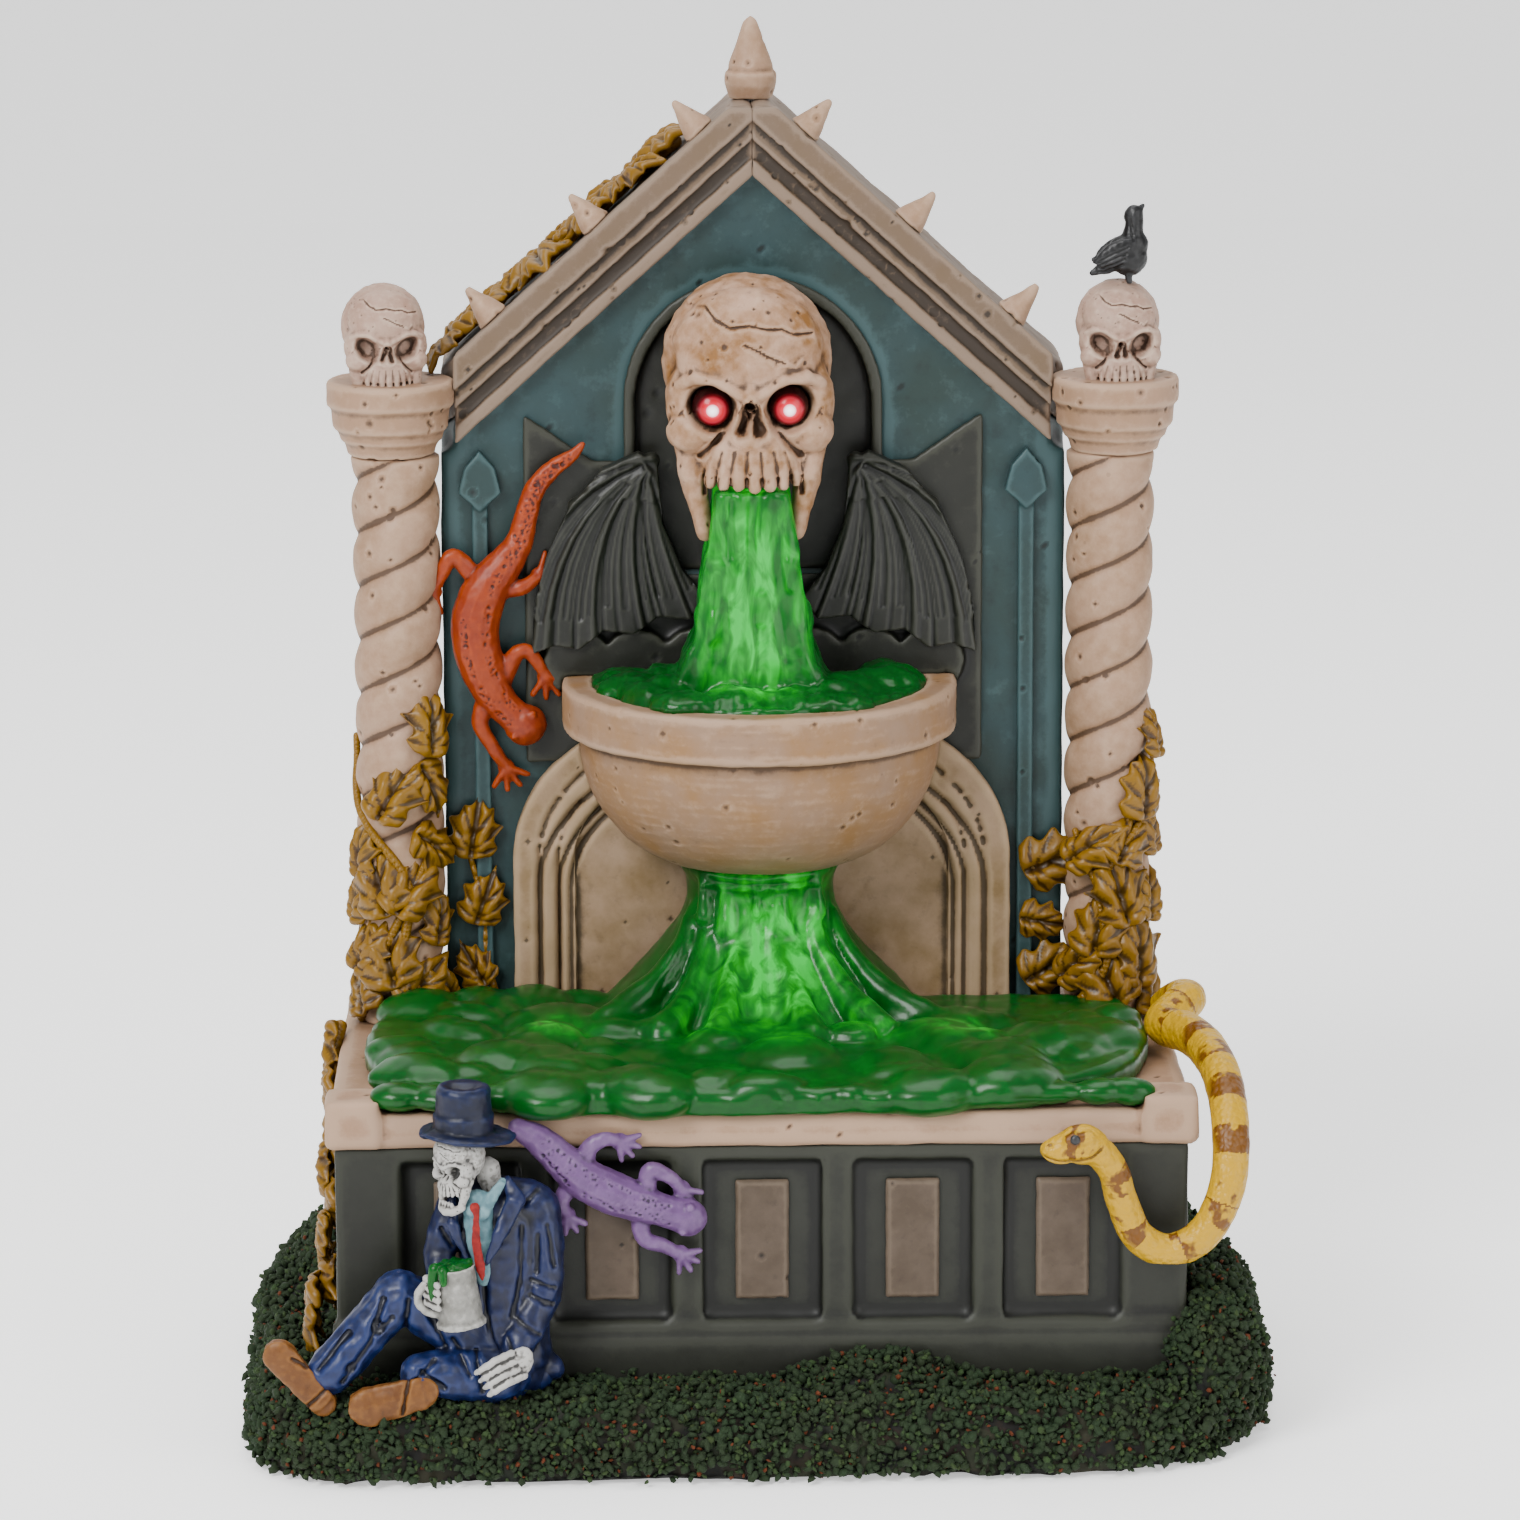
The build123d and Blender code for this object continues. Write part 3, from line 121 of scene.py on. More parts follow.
# ------------------------------------------------------------------ finishes
@dataclass(frozen=True)
class CastPaint:
    """Brushed-on paint over cast resin, darker in hollows and lighter on edges: a dark wash with painted shade in the
    hollows, dry brushing with a painted highlight on the edges.
    """

    name: str
    base: str
    wash_and_shade: str
    edge: str
    mottle: str
    mottle_mm: float = 9.0
    grain_mm: float = 0.45
    roughness: float = 0.62
    wash_and_shade_strength: float = 0.85
    edge_strength: float = 0.5
    speckle: float = 0.2
    bump: float = 0.25
    coat: float = 0.05

    def build(self) -> bpy.types.Material:
        """Make the material."""
        material = bpy.data.materials.new(self.name)
        material.use_nodes = True
        tree = material.node_tree
        tree.nodes.clear()
        place = add(tree, "TexCoord").outputs["Object"]
        hollow = add(tree, "Attribute", {"attribute_name": "hollow"}).outputs["Fac"]
        broad = add(tree, "TexNoise", {"Scale": per_metre(self.mottle_mm), "Detail": 5.0, "Roughness": 0.6},
                    {"Vector": place}).outputs["Fac"]
        broad = add(tree, "MapRange", {"From Min": 0.36, "From Max": 0.66}, {"Value": broad}).outputs["Result"]
        colour = add(tree, "Mix", {"data_type": "RGBA", 6: pigment(self.base), 7: pigment(self.mottle)},
                     {0: broad}).outputs[2]
        grain = add(tree, "TexNoise", {"Scale": per_metre(self.grain_mm * 2.2), "Detail": 3.0, "Roughness": 0.7},
                    {"Vector": place}).outputs["Fac"]
        brushed = add(tree, "Math", {"operation": "MULTIPLY_ADD", 1: 0.30, 2: -0.15}, {0: grain}).outputs[0]
        level = add(tree, "Math", {"operation": "ADD"}, {0: hollow, 1: brushed}).outputs[0]
        # darker in the hollows: a dark wash and painted shade
        dark = add(tree, "MapRange", {"From Min": 0.53, "From Max": 0.78, "To Max": self.wash_and_shade_strength},
                   {"Value": level}).outputs["Result"]
        colour = add(tree, "Mix", {"data_type": "RGBA", 7: pigment(self.wash_and_shade)}, {0: dark, 6: colour}).outputs[2]
        # lighter on raised edges: dry brushing and a painted highlight
        light = add(tree, "MapRange", {"From Min": 0.46, "From Max": 0.28, "To Max": self.edge_strength},
                    {"Value": level}).outputs["Result"]
        colour = add(tree, "Mix", {"data_type": "RGBA", 7: pigment(self.edge)}, {0: light, 6: colour}).outputs[2]
        # dark pin holes in the wash colour: glaze in the pits and painted shade
        pin = add(tree, "TexVoronoi", {"Scale": per_metre(2.6), "Randomness": 1.0}, {"Vector": place})
        rare = add(tree, "SeparateColor", {}, {0: pin.outputs["Color"]}).outputs[0]
        size = add(tree, "MapRange", {"From Min": 0.72, "From Max": 1.0, "To Max": 0.11}, {"Value": rare}).outputs[0]
        hole = add(tree, "Math", {"operation": "LESS_THAN"}, {0: pin.outputs["Distance"], 1: size}).outputs[0]
        hole = add(tree, "Math", {"operation": "MULTIPLY", 1: self.speckle}, {0: hole}).outputs[0]
        colour = add(tree, "Mix", {"data_type": "RGBA", 7: pigment(self.wash_and_shade)}, {0: hole, 6: colour}).outputs[2]
        height = add(tree, "Math", {"operation": "SUBTRACT"}, {0: grain, 1: hole}).outputs[0]
        relief = add(tree, "Bump", {"Strength": self.bump, "Distance": 0.12 * MM}, {"Height": height}).outputs[0]
        shader = add(tree, "BsdfPrincipled", {"Roughness": self.roughness, "Coat Weight": self.coat,
                                              "Coat Roughness": 0.35, "Specular IOR Level": 0.3},
                     {"Base Color": colour, "Normal": relief})
        add(tree, "OutputMaterial", {}, {"Surface": shader.outputs[0]})
        return material


@dataclass(frozen=True)
class LitResin:
    """Clear-tinted casting resin: glossy, deep green, and glowing where an LED stands behind it."""

    name: str = "tinted_polyester_resin"
    deep: str = "#002c05"
    body: str = "#005415"
    glow: str = "#00bd24"
    core: str = "#00f04c"
    roughness: float = 0.3

    def build(self) -> bpy.types.Material:
        """Make the material."""
        material = bpy.data.materials.new(self.name)
        material.use_nodes = True
        tree = material.node_tree
        tree.nodes.clear()
        place = add(tree, "TexCoord").outputs["Object"]
        glow = add(tree, "Attribute", {"attribute_name": "glow"}).outputs["Fac"]
        hollow = add(tree, "Attribute", {"attribute_name": "hollow"}).outputs["Fac"]
        cloud = add(tree, "TexNoise", {"Scale": per_metre(3.2), "Detail": 4.0, "Roughness": 0.65, "Distortion": 0.6},
                    {"Vector": place}).outputs["Fac"]
        drawn = add(tree, "VectorMath", {"operation": "MULTIPLY", 1: (1.0, 1.0, 0.4)}, {0: place}).outputs[0]
        patch = add(tree, "TexNoise", {"Scale": per_metre(2.4), "Detail": 3.0, "Distortion": 0.8},
                    {"Vector": drawn}).outputs["Fac"]
        stir = add(tree, "MapRange", {"From Min": 0.36, "From Max": 0.64, "To Min": 0.5, "To Max": 1.2},
                   {"Value": patch}).outputs["Result"]
        lit = add(tree, "Math", {"operation": "MULTIPLY"}, {0: glow, 1: stir}).outputs[0]
        thin = add(tree, "MapRange", {"From Min": 0.7, "From Max": 0.3, "To Min": 0.8, "To Max": 1.12},
                   {"Value": hollow}).outputs["Result"]
        lit = add(tree, "Math", {"operation": "MULTIPLY"}, {0: lit, 1: thin}).outputs[0]
        shade = add(tree, "Mix", {"data_type": "RGBA", 6: linear(self.deep), 7: linear(self.body)},
                    {0: cloud}).outputs[2]
        ramp = add(tree, "ValToRGB", {}, {0: lit})
        stops = ramp.color_ramp.elements
        stops[0].position, stops[0].color = 0.0, linear("#023008")
        stops[1].position, stops[1].color = 1.0, linear(self.core)
        for position, code in ((0.3, "#047a18"), (0.62, self.glow)):
            stop = stops.new(position)
            stop.color = linear(code)
        # every part of the resin keeps a faint green glow, also far from any LED: painted glow
        power = add(tree, "MapRange", {"From Min": 0.03, "From Max": 0.95, "To Min": 0.02, "To Max": 0.95},
                    {"Value": lit}).outputs["Result"]
        shader = add(tree, "BsdfPrincipled", {
            "Roughness": self.roughness, "IOR": 1.5, "Subsurface Weight": 0.35, "Subsurface Scale": 2.0 * MM,
            "Subsurface Radius": (0.5, 1.6, 0.6), "Coat Weight": 0.05, "Coat Roughness": 0.1,
            "Specular IOR Level": 0.22},
            {"Base Color": shade, "Emission Color": ramp.outputs[0], "Emission Strength": power})
        add(tree, "OutputMaterial", {}, {"Surface": shader.outputs[0]})
        return material


@dataclass(frozen=True)
class LedLens:
    """Clear epoxy LED lens: a hot die, the red ring of its cup, and a pale lit rim."""

    name: str
    centre: tuple[float, float, float]
    rings: tuple[tuple[float, str, float], ...] = (  # radius in mm, colour, strength
        (0.0, "#ffffff", 3.6), (0.55, "#ffe0e4", 2.8), (0.85, "#ff2a48", 1.5), (1.25, "#ff1430", 1.0),
        (1.5, "#ff3c52", 0.75), (1.8, "#b01022", 0.35), (2.1, "#30040a", 0.12), (2.4, "#100204", 0.05))

    def build(self) -> bpy.types.Material:
        """Make the material."""
        material = bpy.data.materials.new(self.name)
        material.use_nodes = True
        tree = material.node_tree
        tree.nodes.clear()
        place = add(tree, "TexCoord").outputs["Object"]
        away = add(tree, "VectorMath", {"operation": "SUBTRACT", 1: tuple(c * MM for c in self.centre)},
                   {0: place}).outputs[0]
        flat = add(tree, "VectorMath", {"operation": "MULTIPLY", 1: (1.0, 0.0, 1.0)}, {0: away}).outputs[0]
        reach = add(tree, "VectorMath", {"operation": "LENGTH"}, {0: flat}).outputs["Value"]
        reach = add(tree, "MapRange", {"From Max": 2.5 * MM}, {"Value": reach}).outputs["Result"]
        ramp = add(tree, "ValToRGB", {}, {0: reach})
        stops = ramp.color_ramp.elements
        stops.remove(stops[1])
        for i, (radius, code, strength) in enumerate(self.rings):
            stop = stops[0] if i == 0 else stops.new(radius / 2.5)
            stop.position = radius / 2.5
            stop.color = (*(c * strength for c in linear(code)[:3]), 1.0)
        shader = add(tree, "BsdfPrincipled", {"Roughness": 0.22, "IOR": 1.5, "Base Color": linear("#200206"),
                                              "Specular IOR Level": 0.25,
                                              "Emission Strength": 1.0},
                     {"Emission Color": ramp.outputs[0]})
        add(tree, "OutputMaterial", {}, {"Surface": shader.outputs[0]})
        return material


@dataclass(frozen=True)
class PlainStock:
    """Moulded plastic, sheet metal or wire insulation inside and under the casting."""

    name: str
    colour: str
    second: str
    grain_mm: float = 0.8
    roughness: float = 0.45
    metallic: float = 0.0
    bump: float = 0.15

    def build(self) -> bpy.types.Material:
        """Make the material."""
        material = bpy.data.materials.new(self.name)
        material.use_nodes = True
        tree = material.node_tree
        tree.nodes.clear()
        place = add(tree, "TexCoord").outputs["Object"]
        grain = add(tree, "TexNoise", {"Scale": per_metre(self.grain_mm), "Detail": 3.0}, {"Vector": place}).outputs[0]
        colour = add(tree, "Mix", {"data_type": "RGBA", 6: linear(self.colour), 7: linear(self.second)},
                     {0: grain}).outputs[2]
        relief = add(tree, "Bump", {"Strength": self.bump, "Distance": 0.03 * MM}, {"Height": grain}).outputs[0]
        shader = add(tree, "BsdfPrincipled", {"Roughness": self.roughness, "Metallic": self.metallic},
                     {"Base Color": colour, "Normal": relief})
        add(tree, "OutputMaterial", {}, {"Surface": shader.outputs[0]})
        return material


@dataclass(frozen=True)
class SnakePaint:
    """Yellow enamel with brown saddles, laid along the body by its own length and bearing."""

    name: str = "yellow_acrylic_with_brown_saddles"
    ground: str = "#cbab00"
    saddle: str = "#7d5a20"
    scale_mm: float = 0.85

    def build(self) -> bpy.types.Material:
        """Make the material."""
        material = bpy.data.materials.new(self.name)
        material.use_nodes = True
        tree = material.node_tree
        tree.nodes.clear()
        place = add(tree, "TexCoord").outputs["Object"]
        along = add(tree, "Attribute", {"attribute_name": "along"}).outputs["Fac"]
        around = add(tree, "Attribute", {"attribute_name": "around"}).outputs["Fac"]
        hollow = add(tree, "Attribute", {"attribute_name": "hollow"}).outputs["Fac"]
        wobble = add(tree, "TexNoise", {"Scale": per_metre(3.0), "Detail": 3.0}, {"Vector": place}).outputs["Fac"]
        bend = add(tree, "Math", {"operation": "MULTIPLY_ADD", 1: 7.0}, {0: wobble, 2: along}).outputs[0]
        wave = add(tree, "Math", {"operation": "MULTIPLY", 1: 2 * math.pi / 7.2}, {0: bend}).outputs[0]
        wave = add(tree, "Math", {"operation": "SINE"}, {0: wave}).outputs[0]
        band = add(tree, "MapRange", {"From Min": 0.5, "From Max": 0.75}, {"Value": wave}).outputs["Result"]
        upper = add(tree, "MapRange", {"From Min": -0.35, "From Max": 0.25}, {"Value": around}).outputs["Result"]
        band = add(tree, "Math", {"operation": "MULTIPLY"}, {0: band, 1: upper}).outputs[0]
        colour = add(tree, "Mix", {"data_type": "RGBA", 6: pigment(self.ground), 7: pigment(self.saddle)},
                     {0: band}).outputs[2]
        # darker brown in the hollows: glaze and painted shade
        dark = add(tree, "MapRange", {"From Min": 0.54, "From Max": 0.75, "To Max": 0.7},
                   {"Value": hollow}).outputs["Result"]
        colour = add(tree, "Mix", {"data_type": "RGBA", 7: pigment("#5d3c10")}, {0: dark, 6: colour}).outputs[2]
        cell = add(tree, "TexVoronoi", {"Scale": per_metre(self.scale_mm)}, {"Vector": place}).outputs["Distance"]
        relief = add(tree, "Bump", {"Strength": 0.8, "Distance": 0.3 * MM, "invert": True},
                     {"Height": cell}).outputs[0]
        shader = add(tree, "BsdfPrincipled", {"Roughness": 0.42, "Coat Weight": 0.05, "Specular IOR Level": 0.3},
                     {"Base Color": colour, "Normal": relief})
        add(tree, "OutputMaterial", {}, {"Surface": shader.outputs[0]})
        return material


class Paint:
    """Every finish on the object, built once and kept by name."""

    # acrylic over polyresin: soft sheen, brown glaze with painted shade in the hollows, dry brushing with a painted
    # highlight on the edges
    STONE = CastPaint("stone_acrylic_with_umber_glaze", "#b39a88", "#4a382a", "#cdb8a6", "#a58c77", 11.0)
    # the bowl is a darker copy of the stone paint, because its lower part lies in shade: painted shade
    BOWL = CastPaint("bowl_acrylic_with_umber_glaze", "#a38d7c", "#5a4738", "#c9b4a2", "#a08468", 7.0, speckle=0.25)
    ARCH = CastPaint("arch_acrylic_with_olive_glaze", "#b29e8b", "#4c4132", "#bba992", "#8e7b60", 8.0)
    BONE = CastPaint("bone_acrylic_with_umber_glaze", "#c4aa98", "#3e2c20", "#d6c0ae", "#93714f", 4.5, grain_mm=0.35, speckle=0.4,
                     edge_strength=0.35)
    SMALL_BONE = CastPaint("pale_bone_acrylic", "#c2ada0", "#4b392d", "#dccbbd", "#b0978a", 3.0, grain_mm=0.3)
    MOULDING = CastPaint("taupe_acrylic_with_black_glaze", "#7f7063", "#2c2620", "#a5968a", "#7c6c5c", 8.0)
    TEAL = CastPaint("teal_acrylic_satin", "#3a4f51", "#172020", "#5f7577", "#324340", 12.0, roughness=0.5)
    PLAQUE = CastPaint("charcoal_acrylic_satin", "#2f302a", "#11120f", "#57584f", "#272822", 9.0, roughness=0.5)
    WING = CastPaint("wing_charcoal_acrylic", "#30312c", "#0b0c0a", "#55564e", "#282924", 7.0, roughness=0.45,
                     edge_strength=0.35, wash_and_shade_strength=0.7)
    BLOCK = CastPaint("block_charcoal_acrylic", "#393b34", "#11120f", "#54564c", "#2f302a", 12.0, roughness=0.55,
                      edge_strength=0.3)
    TABLET = CastPaint("tablet_taupe_acrylic", "#6b6056", "#26201b", "#82776b", "#5d5247", 4.0)
    IVY = CastPaint("ochre_acrylic_with_umber_glaze", "#775f27", "#2c1d0a", "#9a7b36", "#5f461b", 4.0,
                    grain_mm=0.3, roughness=0.4, wash_and_shade_strength=0.6, edge_strength=0.7)
    ORANGE = CastPaint("orange_acrylic_satin", "#9c5226", "#3c170a", "#b5632f", "#8a421c", 3.5, grain_mm=0.3,
                       roughness=0.45, coat=0.05)
    PURPLE = CastPaint("lilac_acrylic_satin", "#7c6389", "#2a1d33", "#967fa0", "#6c5478", 3.0, grain_mm=0.3,
                       roughness=0.42, coat=0.15)
    SUIT = CastPaint("navy_acrylic_satin", "#1c2444", "#070a16", "#333e66", "#161d38", 3.5, grain_mm=0.3,
                     roughness=0.42, coat=0.15)
    TROUSERS = CastPaint("blue_acrylic_satin", "#202e57", "#080c1a", "#3b4b78", "#192546", 3.5, grain_mm=0.3,
                         roughness=0.42, coat=0.15)
    HAT = CastPaint("dark_blue_acrylic", "#141f3d", "#060a14", "#293860", "#101932", 3.0, grain_mm=0.3, roughness=0.45)
    SHIRT = CastPaint("pale_blue_acrylic", "#7f9ba2", "#3b4c50", "#a7bfc4", "#728d94", 2.0, grain_mm=0.25)
    TIE = CastPaint("red_acrylic", "#8e2a2a", "#3c0f10", "#b84f48", "#7c2224", 2.0, grain_mm=0.25)
    SHOE = CastPaint("tan_acrylic", "#7f5c3c", "#33200f", "#9b7650", "#6b4a2d", 3.0, grain_mm=0.3, roughness=0.5)
    FIGURE_BONE = CastPaint("silver_grey_acrylic", "#b4b2ae", "#121212", "#e3e2df", "#9b9996", 2.0, grain_mm=0.25,
                            roughness=0.45)
    PEWTER = CastPaint("pewter_acrylic", "#a9a8a4", "#35352f", "#dcdbd7", "#8f8e89", 2.0, grain_mm=0.25,
                       roughness=0.38)
    CROW = CastPaint("black_acrylic_satin", "#1b1b1c", "#050505", "#4a4a4c", "#131314", 2.0, grain_mm=0.3,
                     roughness=0.42, speckle=0.0)
    SOIL = CastPaint("soil_green_acrylic", "#20291b", "#0c0f0a", "#333a26", "#33261c", 4.0, grain_mm=0.5,
                     roughness=0.8)
    TURF = CastPaint("green_foam_turf", "#223222", "#0c120c", "#3c4d35", "#2c2a1f", 7.0, grain_mm=0.4,
                     roughness=0.95, bump=0.5)
    PALE_TURF = CastPaint("pale_foam_turf", "#31442c", "#141c12", "#4c5f40", "#3b3a27", 5.0, grain_mm=0.4,
                          roughness=0.95, bump=0.5)
    RUST_TURF = CastPaint("rust_foam_turf", "#5a3524", "#22120b", "#7a4d36", "#402518", 3.0, grain_mm=0.4,
                          roughness=0.95, bump=0.5)
    SLIME = LitResin()
    SNAKE = SnakePaint()
    ABS = PlainStock("black_moulded_abs", "#161617", "#1d1d1f")
    BOARD = PlainStock("green_solder_mask", "#10522a", "#0d4423", roughness=0.3)
    STEEL = PlainStock("zinc_plated_steel", "#a8a9ab", "#8d8e90", metallic=1.0, roughness=0.3)
    SLEEVE = PlainStock("black_cell_sleeve", "#1f2023", "#26282c", roughness=0.3)
    RED_WIRE = PlainStock("red_pvc_wire", "#8c1616", "#7a1212", roughness=0.4)
    BLACK_WIRE = PlainStock("black_pvc_wire", "#151515", "#1c1c1c", roughness=0.4)

    made: dict[str, bpy.types.Material] = {}

    @classmethod
    def of(cls, finish: object) -> bpy.types.Material:
        """Return the material of a finish, building it the first time."""
        if finish.name not in cls.made:
            cls.made[finish.name] = finish.build()
        return cls.made[finish.name]


# ------------------------------------------------------------------ sculpting
class Clay:
    """Blobs, rods and slabs gathered into one lump before it is fused."""

    def __init__(self) -> None:
        """Start with an empty lump."""
        self.bm = bmesh.new()

    def ball(self, centre: Point, radii: Point, turn: Point = (0, 0, 0), detail: int = 3) -> "Clay":
        """Add an ellipsoid, turned by degrees about X, Y and Z."""
        spin = Matrix.Rotation(math.radians(turn[2]), 4, "Z") @ Matrix.Rotation(math.radians(turn[1]), 4, "Y")
        spin = spin @ Matrix.Rotation(math.radians(turn[0]), 4, "X")
        place = Matrix.Translation(centre) @ spin @ Matrix.Diagonal((*radii, 1.0))
        bmesh.ops.create_icosphere(self.bm, subdivisions=detail, radius=1.0, matrix=place)
        return self

    def rod(self, points: Sequence[Point], radii: Sequence[float], flat: float = 1.0, sides: int = 14) -> "Clay":
        """Add a tapered, round-ended rod through the points; flat squeezes it along Y."""
        ends = [Vector(p) for p in points]
        squeeze = Matrix.Diagonal((1.0, flat, 1.0, 1.0))
        for a, b, ra, rb in zip(ends, ends[1:], radii, radii[1:]):
            run = b - a
            if run.length < 1e-6:
                continue
            aim = run.to_track_quat("Z", "Y").to_matrix().to_4x4()
            made = bmesh.ops.create_cone(self.bm, cap_ends=True, segments=sides, radius1=ra, radius2=rb,
                                         depth=run.length, matrix=aim)
            shift = Matrix.Translation((a + b) / 2)
            bmesh.ops.transform(self.bm, matrix=shift @ squeeze, verts=made["verts"])
        for p, r in zip(ends, radii):
            self.ball(p, (r, r * flat, r), detail=2)
        return self

    def slab(self, low: Point, high: Point, soften: float = 0.0) -> "Clay":
        """Add a box between two corners, with softened edges."""
        size = Vector(high) - Vector(low)
        place = Matrix.Translation((Vector(low) + Vector(high)) / 2) @ Matrix.Diagonal((*size, 1.0))
        made = bmesh.ops.create_cube(self.bm, size=1.0, matrix=place)
        if soften:
            edges = list({e for v in made["verts"] for e in v.link_edges})
            bmesh.ops.bevel(self.bm, geom=edges, offset=soften, segments=2, profile=0.5, affect="EDGES",
                            material=-1)
        return self

    def relief(self, outline: Sequence[Sequence[float]], front: float, depth: float) -> "Clay":
        """Add a front-view outline (x, z), extruded from y = front towards the back."""
        verts = [self.bm.verts.new((x, front, z)) for x, z in outline]
        face = self.bm.faces.new(verts)
        pushed = bmesh.ops.extrude_face_region(self.bm, geom=[face])
        moved = [v for v in pushed["geom"] if isinstance(v, bmesh.types.BMVert)]
        bmesh.ops.translate(self.bm, verts=moved, vec=(0, depth, 0))
        region = {f for v in verts for f in v.link_faces} | {f for v in moved for f in v.link_faces}
        bmesh.ops.recalc_face_normals(self.bm, faces=list(region))
        return self

    def lathe(self, profile: Sequence[Sequence[float]], centre: Point, steps: int = 64, arc: float = 360.0,
              start: float = 0.0) -> "Clay":
        """Spin a profile of (radius, z) points about a vertical axis."""
        before = set(self.bm.verts)
        turn = Matrix.Rotation(math.radians(start), 4, "Z")
        ring = [self.bm.verts.new(turn @ Vector((r, 0, z))) for r, z in profile]
        edges = [self.bm.edges.new((a, b)) for a, b in zip(ring, ring[1:] + ring[:1])]
        bmesh.ops.spin(self.bm, geom=ring + edges, cent=(0, 0, 0), axis=(0, 0, 1), angle=math.radians(arc),
                       steps=steps, use_merge=arc >= 360.0)
        fresh = [v for v in self.bm.verts if v not in before]
        bmesh.ops.translate(self.bm, verts=fresh, vec=centre)
        bmesh.ops.remove_doubles(self.bm, verts=fresh, dist=1e-5)
        faces = list({f for v in self.bm.verts if v not in before for f in v.link_faces})
        bmesh.ops.recalc_face_normals(self.bm, faces=faces)
        return self

    def node(self, name: str) -> "Clay":
        """Add a copy of a CAD node, with its loose triangles merged."""
        source = bpy.data.objects[name].data
        lump = bmesh.new()
        lump.from_mesh(source)
        bmesh.ops.scale(lump, vec=(1 / MM,) * 3, verts=lump.verts)
        bmesh.ops.remove_doubles(lump, verts=lump.verts, dist=1e-4)
        copy = bpy.data.meshes.new("copy")
        lump.to_mesh(copy)
        lump.free()
        self.bm.from_mesh(copy)
        bpy.data.meshes.remove(copy)
        return self

    def fuse(self, voxel: float, relax: int = 2) -> "Cast":
        """Join everything into one closed skin of cells about voxel millimetres wide."""
        mesh = bpy.data.meshes.new("lump")
        self.bm.to_mesh(mesh)
        self.bm.free()
        holder = bpy.data.objects.new("lump", mesh)
        bpy.context.scene.collection.objects.link(holder)
        joiner = holder.modifiers.new("join", "REMESH")
        joiner.mode = "VOXEL"
        joiner.voxel_size = voxel
        graph = bpy.context.evaluated_depsgraph_get()
        fused = bpy.data.meshes.new_from_object(holder.evaluated_get(graph))
        bpy.data.objects.remove(holder)
        bpy.data.meshes.remove(mesh)
        return Cast(fused).relax(relax)

    def keep(self) -> "Cast":
        """Keep the shapes as they are, unfused."""
        mesh = bpy.data.meshes.new("lump")
        self.bm.to_mesh(mesh)
        self.bm.free()
        return Cast(mesh)


